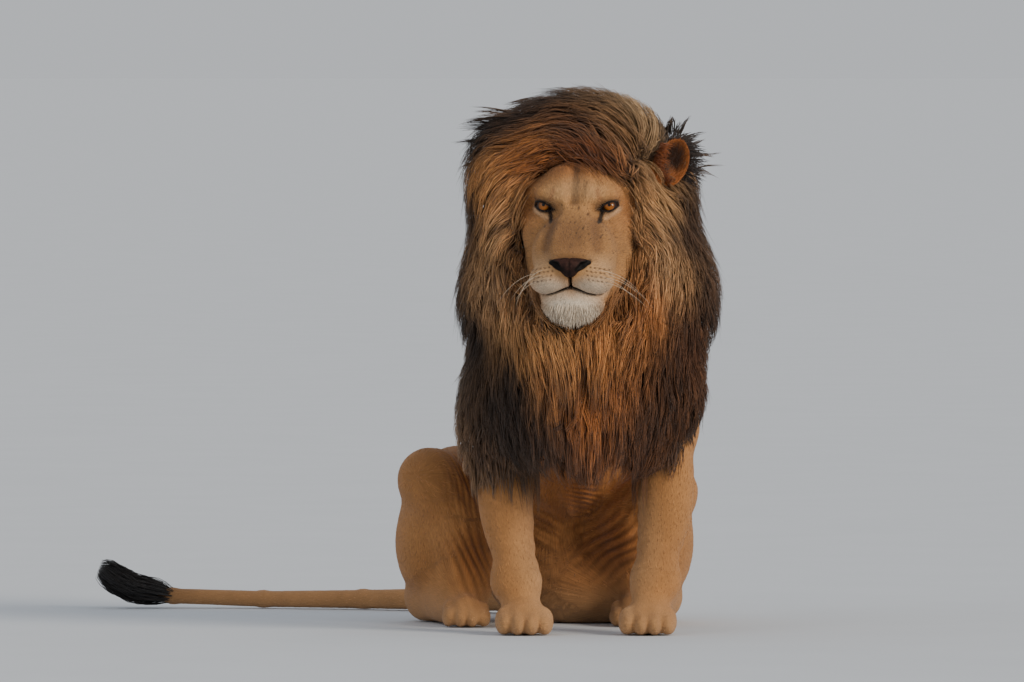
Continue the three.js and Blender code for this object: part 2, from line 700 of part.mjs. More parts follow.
const noseForms = union([
  headBall([0, -134, -128], [NOSE_WIDTH / 2, 24, 18], [0, 0, 0], [12, 6]),
  headBall([0, -140, -144], [22, 18, 24], [0, 0, 0], [8, 5]),
]);
const nostril = (s) => headBall([s * 24, -154, -134], [9, 16, 6], [0, s * -20, 0], [6, 5]);
place("nose", cut(noseForms, nostril(1), nostril(-1)), LOOKS.nose);

// The lids are a shell over each eyeball, opened by an almond whose outer corner is the higher one.
const LID_RADIUS = 25;
const SLIT = { width: 42, height: 19, slant: 10 };
function slit(s) {
  const almond = new THREE.Shape().moveTo(-SLIT.width / 2, 0);
  almond.quadraticCurveTo(0, SLIT.height, SLIT.width / 2, 0);
  almond.quadraticCurveTo(0, -SLIT.height, -SLIT.width / 2, 0);
  const geometry = new THREE.ExtrudeGeometry(almond, { depth: 60, bevelEnabled: false, curveSegments: 5 });
  geometry.rotateX(Math.PI / 2).rotateY(THREE.MathUtils.degToRad(-s * SLIT.slant));
  geometry.rotateZ(THREE.MathUtils.degToRad(s * 12)).translate(...eyeAt(s)).applyMatrix4(headFrame);
  return solid(geometry);
}
const lids = (s) => headBall(eyeAt(s), Array(3).fill(LID_RADIUS), [0, 0, 0], [12, 8]);

const jawLine = [[0, 45, -162], [0, -30, -182], [0, -84, -203]].map(fromHead);
const jawMade = solid(loft(jaw, jawLine, { rings: 5, sides: 16, roundEnd: 3 }));
place("lower_jaw", cut(jawMade, headClear, below(HEAD_PLANE)), LOOKS.pale);

const earClear = [];
for (const [side, s] of SIDES) {
  const [x, y, z] = EAR_PLACE[side];
  const tilt = [0, s * 24, s * -14];
  const shell = headBall([x, y, z], [43, 25, 60], tilt, [12, 8]);
  const cup = headBall([x + s * 2, y - 17, z + 3], [35, 25, 51], tilt, [10, 6]);
  const root = headBall([x - s * 46, y + 8, z - 38], [54, 22, 34], [0, s * -38, 0], [8, 6]);
  place(`ear_${side}`, cut(union([shell, root]), cup, headClear), LOOKS.coat);
  earClear.push(clearOf(`ear_${side}`));
}

// The head's locks hang over the neck's, and those over the chest's.
const random = draws(17);
const inHeadMane = (p) => heightOver(HEAD_PLANE, p) > 10;
const inNeck = (p) => heightOver(HEAD_PLANE, p) < -4 && heightOver(CHEST_PLANE, p) > 10;
const inChest = (p) => heightOver(CHEST_PLANE, p) < -4;
const headRoots = maneRoots([0, -10, 880], LOCK_SPACING.head, inHeadMane);
const neckRoots = maneRoots([0, 0, 700], LOCK_SPACING.neck, inNeck);
const chestRoots = maneRoots([0, 60, 600], LOCK_SPACING.chest, inChest);

const locksFrom = (roots) => union(roots.map((root) => maneLock(root, random)));

const headLocks = cut(locksFrom(headRoots), clearOf("lower_jaw"), ...earClear);
const face = cut(union([headCore, lids(1), lids(-1)]), slit(1), slit(-1), ...sockets, grown(noseForms));
place("head", cut(face, below(HEAD_PLANE)).add(headLocks), LOOKS.coat);
const headLocksClear = grown(headLocks);

const neckShape = { rings: 4, sides: 22, roundStart: 3, roundEnd: 3, reach: 330 };
const neckCore = solid(loft(coated, NECK_LINE, neckShape));
const neckLocks = cut(locksFrom(neckRoots), clearOf("lower_jaw"), clearOf("head"));
const neckBare = cut(neckCore, above(HEAD_PLANE), below(CHEST_PLANE), headLocksClear);
place("neck", cut(neckBare.add(neckLocks), ...trunkCutters), LOOKS.mane);
const neckLocksClear = grown(neckLocks);

const trunkField = within(coated, blend(30, trunk, neck, maneTips), 20);
const trunkEnds = {
  chest: { end: 0.42, rings: 6 },
  belly: { end: 0.72, rings: 4 },
  rump: { end: 1, rings: 4 },
};
const trunkShape = { sides: 20, roundStart: 3, roundEnd: 3 };
for (const [name, span] of lengths(trunkField, TRUNK_LINE, trunkEnds, trunkShape)) {
  let made = solid(loft(trunkField, TRUNK_LINE, span));
  if (name === "chest") {
    const chestLocks = cut(locksFrom(chestRoots), clearOf("neck"), headLocksClear);
    made = cut(made, above(CHEST_PLANE), headLocksClear, neckLocksClear).add(chestLocks);
  }
  place(name, cut(made, ...trunkCutters), name === "chest" ? LOOKS.mane : LOOKS.coat);
  trunkCutters.push(clearOf(name));
}

// ---------------------------------------------------------------- the group, on the middle of its base
const lion = new THREE.Group();
for (const [name, { made, look }] of Object.entries(nodes)) {
  const mesh = new THREE.Mesh(geometryOf(made), new THREE.MeshStandardMaterial({ ...look, metalness: 0 }));
  mesh.name = name;
  lion.add(mesh);
}
const box = new THREE.Box3().setFromObject(lion);
const middle = box.getCenter(new THREE.Vector3());
lion.position.set(-middle.x, -middle.y, -box.min.z);
export default lion;
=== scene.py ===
"""A life-size male lion, sitting in the open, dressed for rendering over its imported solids.

Forms are distance fields, negative inside. Lengths are millimetres in the animal's own frame until a mesh
is made: x runs to the lion's left, y to its back and z up from the ground, with the forepaws astride x = 0.
"""

import math

import bpy
import numpy as np
import openvdb
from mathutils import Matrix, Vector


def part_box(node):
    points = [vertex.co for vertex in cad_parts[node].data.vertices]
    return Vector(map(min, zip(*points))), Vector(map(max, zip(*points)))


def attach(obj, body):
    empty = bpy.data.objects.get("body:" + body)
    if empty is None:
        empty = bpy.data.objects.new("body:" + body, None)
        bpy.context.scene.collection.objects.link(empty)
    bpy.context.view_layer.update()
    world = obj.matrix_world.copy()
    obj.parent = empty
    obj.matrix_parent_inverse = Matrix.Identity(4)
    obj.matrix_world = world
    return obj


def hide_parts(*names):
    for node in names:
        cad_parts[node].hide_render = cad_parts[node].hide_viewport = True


MM = 0.001
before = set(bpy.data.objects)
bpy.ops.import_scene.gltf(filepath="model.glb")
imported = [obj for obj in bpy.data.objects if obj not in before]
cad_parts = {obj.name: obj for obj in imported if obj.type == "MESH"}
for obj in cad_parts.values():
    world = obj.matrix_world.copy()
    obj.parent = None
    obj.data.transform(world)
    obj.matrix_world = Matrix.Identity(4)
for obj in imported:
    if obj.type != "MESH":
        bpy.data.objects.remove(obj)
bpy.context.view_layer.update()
random = np.random.default_rng(12)

# -------- driving dimensions
EYE_MID = np.array([-21.0, -150.0, 899.0])  # halfway between the eyes
HEAD_YAW = math.radians(-6)
EYE_PLACE = np.array([68.0, 12.0, 0.0])  # the left eyeball's middle, from EYE_MID
EAR_LEFT = np.array([188.0, 130.0, 90.0])  # the left ear's middle, from EYE_MID
EAR_RIGHT = np.array([-160.0, 142.0, 62.0])
EARS = ((EAR_LEFT, 1), (EAR_RIGHT, -1))
EYE_RADIUS = 20
LID_RADIUS = 23
COAT_DEPTH = 5  # of the short coat on the body
FACE_COAT_DEPTH = 1.5
MANE_HAIR = 215  # length of the mane's hair where it has room
FULL_ROOM = 75  # depth of mane that is room enough

FACE_STEP = 1.9  # between the skin's corners on the face
BODY_STEP = 7.5
NOSE_STEP = 1.3
EYE_RINGS, EYE_SPOKES = ((64, 96))
MANE_GUIDES_APART = 21.7  # on the mane's outside
HAIRS_A_GUIDE = 10
FACE_FUR_APART = 3.7
BODY_FUR_APART = 11
CHIN_FUR_APART = 4
TUFT_HAIRS = 1800
EAR_HAIRS, EAR_BACK_HAIRS = ((260, 380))
MOST_IN_A_PIECE = 190_000  # triangles of coat


def ramp(x):
    """The same, held between 0 and 1."""
    return np.clip(x, 0, 1)


# -------- distance fields
def turn_matrix(degrees):
    """Turns about X, Y and Z, the Z turn first."""
    made = np.eye(3)
    for axis, angle in enumerate(np.radians(degrees)):
        c, s = math.cos(angle), math.sin(angle)
        i, j = (axis + 1) % 3, (axis + 2) % 3
        one = np.eye(3)
        one[i, i], one[i, j], one[j, i], one[j, j] = c, -s, s, c
        made = made @ one
    return made


def mass(centre, radii, turn=(0, 0, 0)):
    """An ellipsoid."""
    centre, radii = np.array(centre, float), np.array(radii, float)
    turned = turn_matrix(turn) if any(turn) else None

    def field(p):
        q = p - centre
        if turned is not None:
            q = q @ turned
        a = q / radii
        b = a / radii
        scale = np.sqrt(np.einsum("ij,ij->i", a, a))
        rate = np.sqrt(np.einsum("ij,ij->i", b, b))
        return scale * (scale - 1) / np.maximum(rate, 1e-6)

    return field


def rod(a, ra, b, rb):
    """A rod with round ends whose radius runs from ra to rb."""
    a, d = np.array(a, float), np.array(b, float) - np.array(a, float)

    def field(p):
        q = p - a
        t = ramp(q @ d / (d @ d))
        return np.linalg.norm(q - t[:, None] * d, axis=1) - (ra + t * (rb - ra))

    return field


def smooth_min(a, b, k):
    """The smaller of two values, rounded off where they are within k of each other."""
    h = np.maximum(k - np.abs(a - b), 0) / k
    return np.minimum(a, b) - h * h * k / 4


def blend(k, *fields):
    def field(p):
        least = fields[0](p)
        for other in fields[1:]:
            least = smooth_min(least, other(p), k)
        return least

    return field


def carve(k, field, tool):
    """A field with a tool's form cut out of it."""
    return lambda p: -smooth_min(-field(p), tool(p), k)


def near(field, centre, reach):
    """The field within reach of a centre, and past it a plain distance that no blend feels."""
    centre = np.array(centre, float)
    margin = 60

    def found(p):
        away = np.linalg.norm(p - centre, axis=1) - reach
        out = away + margin
        inside = away < 0
        if inside.any():
            out[inside] = field(p[inside])
        return out

    return found


def both_sides(make):
    return [make(1), make(-1)]


def lay(s, place):
    """A place of the left side, laid on side s: 1 is the left and -1 the right."""
    return [s * place[0], place[1], place[2]]


# -------- head, from EYE_MID
HEAD_TURN = turn_matrix((0, 0, math.degrees(HEAD_YAW)))


def to_head(p):
    return (p - EYE_MID) @ HEAD_TURN


def from_head(p):
    return np.array(p, float) @ HEAD_TURN.T + EYE_MID


skull = blend(
    34,
    mass([0, 122, 18], [102, 128, 92]),  # braincase
    mass([0, 48, 34], [80, 70, 64]),  # forehead
    *both_sides(lambda s: mass([s * 76, 78, -50], [50, 84, 74])),  # cheeks
    *both_sides(lambda s: mass([s * 88, 80, 0], [46, 68, 58])),  # temples, with their long fur
    *both_sides(lambda s: mass([s * 52, 12, 27], [34, 24, 17])),  # brows
    *both_sides(lambda s: rod([s * 18, 8, -8], 33, [s * 18, -108, -113], 29)),  # bridge of the nose
    *both_sides(lambda s: mass([s * 46, -38, -100], [44, 68, 60], [-25, 0, 0])),  # upper jaw
)
muzzle = blend(
    12,
    mass([0, -72, -134], [72, 70, 44]),
    *both_sides(lambda s: mass([s * 45, -96, -147], [47, 50, 37], [0, s * 10, s * -14])),  # whisker pads
)
jaw = blend(
    24,
    mass([0, -86, -200], [60, 42, 44]),  # chin
    mass([0, -5, -158], [66, 105, 50]),  # floor of the mouth
    *both_sides(lambda s: rod([s * 34, -70, -190], 34, [s * 74, 84, -120], 46)),
)
upper_head = blend(18, skull, muzzle)

SLIT_HALF = 16.5  # half the width of the opening between the lids
SLIT_UPPER = 3.8
SLIT_LOWER = 5.0
SLIT_MIDDLE = [1, 0, 1]  # from the eyeball's middle
SLIT_SLANT = 18  # degrees: the outer corner is the higher one


def slit(s):
    """The almond between an eye's lids, run out forwards."""
    middle = np.array(lay(s, EYE_PLACE + SLIT_MIDDLE))
    c, d = math.cos(math.radians(SLIT_SLANT)), math.sin(math.radians(SLIT_SLANT))

    def field(q):
        r = q - middle
        across = s * (r[:, 0] * c) + r[:, 2] * d
        over = r[:, 2] * c - s * r[:, 0] * d
        height = np.where(over > 0, SLIT_UPPER, SLIT_LOWER)
        edge = np.abs(over) - height * (1 - (across / SLIT_HALF) ** 2)
        return np.maximum(0.75 * edge, r[:, 1] + 4)

    return field


def philtrum(q):
    """A groove from the nose down to the mouth."""
    return np.maximum(np.abs(q[:, 0]) - 1.5, np.abs(q[:, 2] + 147) - 18)


def mouth(q):
    """The line where the lips meet, cut in from the surface and shallower towards its corners."""
    upper, lower = upper_head(q), jaw(q)
    sheet = np.abs(upper - lower) - 1.1
    return np.maximum(sheet, -np.minimum(upper, lower) - 5 + 20 * mouth_end(q) + 3.6 * overhung(q))


def mouth_end(q):
    """0 on the lips, and 1 past the corners of the mouth."""
    return ramp((q[:, 1] + 78) / 26)


def overhung(q):
    """1 where the upper lip hangs over the mouth's line, out from its middle."""
    return ramp((np.abs(q[:, 0]) - 46) / 9) * ramp((-86 - q[:, 1]) / 10)


def ear_tilt(s):
    return 0, s * 24, s * -14


def ear_cup(middle, s):
    x, y, z = middle
    return mass([x + s * 2, y - 17, z + 3], [35, 24, 51], ear_tilt(s))


def ear(middle, s):
    x, y, z = middle
    shell = carve(5, mass(middle, [42, 24, 59], ear_tilt(s)), ear_cup(middle, s))
    return blend(16, shell, mass([x - s * 46, y + 8, z - 38], [54, 22, 34], (0, s * -38, 0)))


def bare_head(q):
    """The head without its ears."""
    whole = smooth_min(upper_head(q), jaw(q), 5 + 22 * mouth_end(q))
    for s in (1, -1):
        for hollow, k in (
            (mass([s * 52, -30, -8], [21, 24, 17]), 16),  # socket, at the eye's inner corner
            (mass([s * 84, -26, -16], [24, 18, 12], (0, s * 14, 0)), 16),  # under the eye
            (rod([s * 58, -62, -30], 12, [s * 70, -120, -92], 13), 22),  # beside the bridge of the nose
            (rod([s * 10, -34, 14], 4, [s * 16, -20, 52], 4), 10),  # frown, at the brow's inner end
            (mass([s * 104, -20, 6], [14, 50, 24]), 26),  # temple
        ):
            whole = -smooth_min(-whole, hollow(q), k)
        whole = smooth_min(whole, rod([s * 38, -13, 20], 9, [s * 76, 0, 29], 6)(q), 14)  # brow
        whole = smooth_min(whole, mass([s * 30, -106, -118], [14, 22, 14])(q), 16)  # wing of the nose
        whole = smooth_min(whole, mass(lay(s, EYE_PLACE), [LID_RADIUS] * 3)(q), 7)
    return -smooth_min(-whole, rod([0, -32, 22], 5, [0, -2, 92], 8)(q), 22)  # furrow up the forehead


def head(q):
    whole = bare_head(q)
    for tool, k in ((mouth, 2.5), (philtrum, 3), (slit(1), 1.5), (slit(-1), 1.5)):
        whole = -smooth_min(-whole, tool(q), k)
    for middle, s in EARS:
        whole = smooth_min(whole, ear(middle, s)(q), 14)
    return whole


# -------- trunk, legs and tail
TRUNK_LINE = [[0, 20, 690], [0, 90, 625], [-22, 235, 520], [-55, 410, 380], [-86, 565, 235], [-98, 680, 110]]
NECK_LINE = [[0, 120, 690], [-6, 50, 790], [-14, -15, 885]]
trunk = blend(
    80,
    mass([0, 48, 630], [140, 150, 185]),  # chest
    mass([-22, 225, 545], [158, 185, 190], [-30, 0, 0]),  # ribs
    mass([-52, 400, 400], [148, 180, 165], [-40, 0, 0]),  # loins and belly
    mass([-85, 565, 250], [150, 170, 160], [-45, 0, 0]),  # pelvis
    mass([-95, 650, 108], [122, 112, 115]),  # rump
)
neck = blend(60, rod(NECK_LINE[0], 140, NECK_LINE[2], 108), mass([0, 120, 790], [85, 130, 95]))

SHOULDER = [150, -5, 640]
ELBOW = [178, 88, 425]
WRIST = [147, 10, 118]
KNUCKLES = [131, -34, 46]


def toes(middle, spread, radii):
    """Four toes side by side, the middle two in front, each with a knuckle behind it."""
    made = []
    for k in (-1.5, -0.5, 0.5, 1.5):
        x, y = middle[0] + k * spread, middle[1] + (13 if abs(k) > 1 else 0)
        made.append(mass([x, y, radii[2] - 1], radii, (0, 0, k * -7)))
        made.append(mass([x, y + 24, radii[2] + 14], [radii[0] * 0.85, 24, 17], (-25, 0, 0)))
    return made


def foreleg(s):
    shoulder, elbow, wrist, knuckles = (lay(s, p) for p in (SHOULDER, ELBOW, WRIST, KNUCKLES))
    limb = blend(
        26,
        mass([s * 138, 55, 650], [62, 105, 150]),  # shoulder blade
        mass([s * 172, 78, 490], [68, 90, 125], [10, 0, 0]),  # upper arm
        rod(shoulder, 58, elbow, 60),
        rod(elbow, 58, wrist, 48),
        mass([s * 172, 38, 310], [60, 60, 145]),  # forearm
        mass([s * 147, 6, 112], [53, 47, 46]),  # wrist
        rod(wrist, 43, knuckles, 38),
        mass([s * 130, -40, 30], [60, 56, 32]),  # pad
    )
    paw = blend(5, *toes([s * 129, -86], 29, [17, 33, 24]))
    return near(blend(16, limb, paw), [s * 150, 30, 400], 520)


HIND = {
    1: dict(hip=[5, 600, 240], thigh=[108, 460, 205], knee=[172, 305, 285], calf=[176, 425, 165],
            hock=[160, 535, 60], toes=[104, 290, 36]),
    -1: dict(hip=[-195, 600, 250], thigh=[-275, 450, 225], knee=[-330, 300, 312], calf=[-350, 420, 170],
             hock=[-335, 520, 60], toes=[-252, 270, 36]),
}


def hind_leg(s):
    at = HIND[s]
    x, y, z = at["hock"]
    tx, ty, _ = at["toes"]
    limb = blend(
        50,
        mass(at["thigh"], [92, 185, 150], [-4, 0, 0]),
        rod(at["hip"], 112, at["knee"], 64),
        blend(50, rod(at["knee"], 58, at["hock"], 42), mass(at["calf"], [56, 100, 88], [-40, 0, 0])),
        rod([x, y, z - 16], 40, at["toes"], 34),
        mass([tx + s * 4, ty + 140, 96], [62, 110, 84]),  # skin and flesh pressed on the foot
    )
    foot = blend(5, *toes([at["toes"][0], at["toes"][1] - 22], 25, [15, 31, 22]))
    return near(blend(14, limb, foot), at["thigh"], 480)


TAIL_LINE = [[-100, 690, 92], [-112, 765, 60], [-165, 850, 37], [-290, 935, 27], [-480, 1020, 23],
             [-700, 1070, 21], [-900, 1085, 27], [-985, 1082, 44]]
TAIL_RADII = [52, 43, 33, 26, 22, 19, 18, 14]
tail = blend(10, *(rod(a, ra, b, rb) for a, ra, b, rb in
                   zip(TAIL_LINE, TAIL_RADII, TAIL_LINE[1:], TAIL_RADII[1:])))

trunk_and_neck = blend(80, trunk, neck)
HEAD_REACH = 420
limbs = [*both_sides(foreleg), *both_sides(hind_leg), near(tail, [-530, 900, 50], 600)]


def body_with(head_field):
    whole_head = near(lambda p: head_field(to_head(p)), EYE_MID + [0, 60, -40], HEAD_REACH)
    return blend(40, trunk_and_neck, whole_head, *limbs)


plain_flesh = body_with(blend(18, upper_head, jaw))


# -------- folds of skin
def folds(centre, radii, across, length, depth):
    """Soft folds that fade out from a centre. Across is the way from one fold to the next."""
    centre, radii, across = (np.array(v, float) for v in (centre, radii, across))
    across /= np.linalg.norm(across)

    def relief(p):
        q = p - centre
        fade = np.exp(-np.sum((q / radii) ** 2, axis=1))
        bend = q @ across + 9 * np.sin(q[:, 2] / 37 + q[:, 1] / 53)
        return depth * fade * (np.cos(2 * math.pi * bend / length) - 0.3)

    return relief


FOLDS = [
    folds([-40, 180, 250], [80, 190, 130], [1, 0.1, 0.35], 38, 5),  # belly between the forelegs
    folds([60, 230, 190], [70, 190, 110], [0.5, 0.1, -1], 34, 5),  # left groin
    folds([-110, 260, 190], [60, 190, 110], [0.5, 0.1, 1], 34, 5),  # right groin
    folds([-225, 270, 330], [60, 90, 110], [0.75, 0.4, 0.5], 30, 4.5),  # right flank
    folds([140, 270, 320], [60, 90, 110], [-0.75, 0.4, 0.5], 30, 4.5),  # left flank
    folds([-40, 300, 560], [230, 200, 120], [0, 0.75, -0.65], 62, 1.2),  # ribs
]
# Wrinkles too fine for the mesh, raised by the material: centre, reach, way across, distance apart.
WRINKLES = [
    ([-227, 250, 323], [44, 120, 90], [0.94, 0.3, 0.35], 11),  # right flank
    ([60, 260, 175], [80, 200, 62], [-0.54, 0.1, 0.84], 21),  # left groin
    ([0, 200, 264], [34, 160, 50], [0.05, 0.1, 1], 11),  # midline
    ([-88, 220, 206], [46, 160, 56], [0.45, 0.1, 0.9], 18),  # right groin
    ([-243, 330, 150], [40, 160, 70], [0.9, 0.2, 0.4], 19),  # inside of the right hind leg
]


def wrinkles(p):
    """The phase of the wrinkles in turns, and how strong they are, from 0 to 1."""
    phase, strength = np.zeros(len(p)), np.zeros(len(p))
    for centre, reach, across, apart in WRINKLES:
        q = p - np.array(centre, float)
        fade = np.exp(-np.sum((q / reach) ** 2, axis=1))
        bend = q @ unit(np.array(across, float)) + 5 * np.sin(q[:, 2] / 23 + q[:, 0] / 31)
        mine = fade > strength
        phase[mine] = (bend / apart)[mine]
        strength[mine] = fade[mine]
    return phase, strength


groin = mass([-5, 470, 90], [150, 120, 100])  # loose skin let down between the rump and the left thigh


def coat_depth(p):
    """How deep the short coat is: thin on the face and the feet."""
    face = np.linalg.norm((to_head(p) - [0, -30, -70]) / [150, 170, 200], axis=1)
    foot = p[:, 2] / 130
    away = np.clip(np.minimum(face, foot) - 0.6, 0, 0.4)
    return FACE_COAT_DEPTH + (COAT_DEPTH - FACE_COAT_DEPTH) * away / 0.4


flesh = body_with(head)


def skin_field(p):
    found = smooth_min(flesh(p), groin(p), 60) + coat_depth(p)
    for relief in FOLDS:
        found = found + relief(p)
    return -smooth_min(-found, p[:, 2] - 1, 4)  # flat on the ground


# -------- the mane's room
face_window = blend(
    8,
    mass([0, -44, 6], [172, 124, 130]),  # forehead
    mass([0, -44, -82], [172, 148, 168]),  # cheeks and muzzle
)
face_opening = blend(8, face_window, mass(EAR_LEFT + [20, -66, 0], [50, 66, 64]))  # and the left ear's cup
tips_whole = blend(
    60,
    mass([-8, 10, 925], [250, 190, 228]),  # round the head
    mass([-178, 0, 1000], [66, 80, 74]),  # the wind-blown side of the crown
    mass([6, 50, 705], [282, 235, 265]),  # neck and shoulders
    mass([-2, -10, 502], [258, 172, 176]),  # breast
    mass([4, -50, 425], [150, 122, 130]),
    mass([0, 190, 830], [180, 170, 160]),  # nape
    mass([-8, -110, 600], [170, 135, 190]),  # throat
    mass([-196, 62, 430], [78, 116, 140]),  # right elbow
)
mane_tips = carve(52, tips_whole, lambda p: face_opening(to_head(p)))


def mane_depth(p):
    """How far the mane stands over a point of the skin. It is negative past the mane's edge."""
    return plain_flesh(p) - mane_tips(p)


# -------- surfaces
AROUND = np.array([[1, 1, 1], [1, -1, -1], [-1, 1, -1], [-1, -1, 1]], float)  # four points round a place


def slope(field, p, step=1.5):
    """A field's value and its slope."""
    values = [field(p + place * step) for place in AROUND]
    rise = sum(v[:, None] * place for v, place in zip(values, AROUND)) / (4 * step)
    return sum(values) / 4, rise


def unit(v):
    return v / np.maximum(np.linalg.norm(v, axis=-1, keepdims=True), 1e-9)


def settle(field, p, turns=2):
    """Moves points onto a field's surface."""
    for _ in range(turns):
        value, rise = slope(field, p)
        step = value / np.maximum(np.sum(rise * rise, axis=1), 0.2)
        p = p - np.clip(step, -4, 4)[:, None] * rise
    return p


BLOCK = 6  # samples along a block's side
HALF_DIAGONAL = 0.87  # of a cube, over its side
SLACK = 1.5  # how much a field may overstate a distance


def surface_of(field, low, high, step):
    """Corners and four-sided faces of a field's surface. Only blocks that may hold it are sampled."""
    low = np.array(low, float)
    counts = np.ceil((np.array(high) - low) / (step * BLOCK)).astype(int)
    blocks = np.stack(np.meshgrid(*map(np.arange, counts), indexing="ij"), -1).reshape(-1, 3)
    centres = low + (blocks + 0.5 - 0.5 / BLOCK) * step * BLOCK
    rough = in_parts(field, centres)
    inner = np.stack(np.meshgrid(*[np.arange(BLOCK)] * 3, indexing="ij"), -1).reshape(-1, 3)
    far = 1e3
    samples = np.where(rough > 0, far, -far)[:, None].repeat(BLOCK**3, 1).astype(np.float32)
    busy = np.abs(rough) < SLACK * HALF_DIAGONAL * (BLOCK + 1) * step
    points = low + ((blocks[busy] * BLOCK)[:, None, :] + inner) * step
    samples[busy] = in_parts(field, points.reshape(-1, 3)).reshape(-1, BLOCK**3)
    shape = tuple(counts) + (BLOCK,) * 3
    dense = samples.reshape(shape).transpose(0, 3, 1, 4, 2, 5).reshape(counts * BLOCK)
    grid = openvdb.FloatGrid(far)
    grid.copyFromArray(np.ascontiguousarray(dense))
    corners, quads = grid.convertToQuads(isovalue=0.0)
    return low + corners.astype(float) * step, quads.astype(np.int64)


def in_parts(field, p, size=200_000):
    """A field's values, found for a number of points at a time to spare memory."""
    if not len(p):
        return np.zeros(0)
    return np.concatenate([field(p[i : i + size]) for i in range(0, len(p), size)])


def keep(corners, faces, wanted):
    """The faces that are wanted, with the corners they use."""
    faces = faces[wanted]
    used, index = np.unique(faces, return_inverse=True)
    return corners[used], index.reshape(faces.shape)


def normals_of(corners, faces):
    a, b, c, d = (corners[faces[:, i]] for i in range(4))
    flat = np.cross(c - a, d - b)
    out = np.zeros_like(corners)
    for i in range(4):
        np.add.at(out, faces[:, i], flat)
    return unit(out)


# -------- an unwrap of the skin along its spines
PAW_TIP = [129, -130, 20]
SPINES = [
    [from_head(p) for p in ([0, -170, -140], [0, -60, -100], [0, 60, -30], [0, 260, -20])],
    NECK_LINE[::-1] + TRUNK_LINE[1:],
    *both_sides(lambda s: [lay(s, p) for p in (SHOULDER, ELBOW, WRIST, KNUCKLES, PAW_TIP)]),
    *both_sides(lambda s: [HIND[s][joint] for joint in ("hip", "knee", "hock", "toes")]),
    TAIL_LINE + [[-1060, 1070, 90]],
]
SPINE_FIELDS = [lambda p: upper_head(to_head(p)), trunk_and_neck, *limbs]


def unwrap(p):
    """Each point's chart, its share along the chart's spine, its angle round it as a share of a turn, and the
    spine's direction there."""
    chart = np.argmin([field(p) for field in SPINE_FIELDS], axis=0)
    share, angle, way = np.zeros(len(p)), np.zeros(len(p)), np.zeros((len(p), 3))
    for i, line in enumerate(SPINES):
        mine = np.flatnonzero(chart == i)
        line = np.array(line, float)
        lengths = np.linalg.norm(np.diff(line, axis=0), axis=1)
        starts = np.concatenate([[0], np.cumsum(lengths)])
        least = np.full(len(mine), np.inf)
        for a, b, start, length in zip(line, line[1:], starts, lengths):
            along = (b - a) / length
            q = p[mine] - a
            t = np.clip(q @ along, 0, length)
            off = q - t[:, None] * along
            gap = np.linalg.norm(off, axis=1)
            closer = gap < least
            least[closer] = gap[closer]
            side = unit(np.cross(along, [0.3, 0.2, 1]))
            turn = np.arctan2(off @ np.cross(side, along), off @ side) / (2 * math.pi) + 0.5
            rows = mine[closer]
            share[rows] = ((start + t) / starts[-1])[closer]
            angle[rows] = turn[closer]
            way[rows] = along
    return chart, share, angle, way


def atlas(chart, share, angle):
    """Places on the unit square: a grid of four by two charts."""
    u = (chart % 4 + 0.03 + 0.94 * angle) / 4
    v = (chart // 4 + 0.03 + 0.94 * share) / 2
    return np.stack([u, v], -1)


# -------- colours
def tone(red, green, blue):
    """A colour as a screen shows it, made linear."""
    return (np.array([red, green, blue]) / 255) ** 2.2


TAWNY = tone(180, 126, 77)
TAN = tone(186, 136, 86)
PALE = tone(206, 170, 128)
CREAM = tone(222, 203, 178)
RUST = tone(164, 90, 42)
BROWN = tone(104, 72, 48)
DARK = tone(52, 39, 32)
BLACK = tone(26, 21, 19)
NOSE = tone(54, 35, 30)
UNDER_EYE = tone(222, 176, 132)
WHISKER = tone(226, 206, 180)
EYEBALL = tone(40, 27, 21)
IRIS = tone(142, 84, 30)
PUPIL = tone(12, 9, 8)


def paint(colours, *layers):
    """Lays layers over colours in turn. Each is a colour and how much it covers, from 0 to 1."""
    for new, mask in layers:
        colours = colours + (new - colours) * ramp(mask)[:, None]
    return colours


def spot(q, centre, radii, soft=0.6):
    """1 at a centre, fading to 0 past the radii."""
    off = np.linalg.norm((q - np.array(centre, float)) / radii, axis=1)
    return ramp((1 + soft / 2 - off) / soft)


def mottle(p, size, seed=0.0):
    """Smooth patches between -1 and 1."""
    x, y, z = (p[:, i] * (6.28 / size) for i in range(3))
    first = np.sin(x + 1.7 * np.sin(0.6 * y + seed)) + np.sin(y + 1.9 * np.sin(0.7 * z + 2 * seed))
    return (first + np.sin(z + 1.5 * np.sin(0.8 * x + seed))) / 3


def whisker_spots():
    """Rows of dark spots on a whisker pad, as (x, z) seen from the front."""
    return [(34 + 9 * i + 2 * row, -122 - 9 * row - 1.4 * i) for row in range(4) for i in range(6 - row // 2)]


# Scars on the face, as (x, z, size) seen from the front.
SCARS = [(9, -3, 2.4), (42, -2, 3.2), (28, -15, 2.2), (-27, 4, 1.8),
         (-62, -40, 2.2), (22, -44, 1.8), (58, -62, 2)]

nostrils = blend(4, *both_sides(lambda s: rod([s * 17, -152, -129], 3.5, [s * 27, -146, -120], 6.5)),
                 *both_sides(lambda s: rod([s * 27, -146, -120], 5.0, [s * 44, -132, -109], 2.5)))


def mirrored(q):
    """Points of the head, with its right half laid over its left."""
    return np.column_stack([np.abs(q[:, 0]), q[:, 1:]])


def lip_gap(q):
    """Nothing where the lips meet, and more away from there."""
    return np.abs(upper_head(q) - jaw(q))


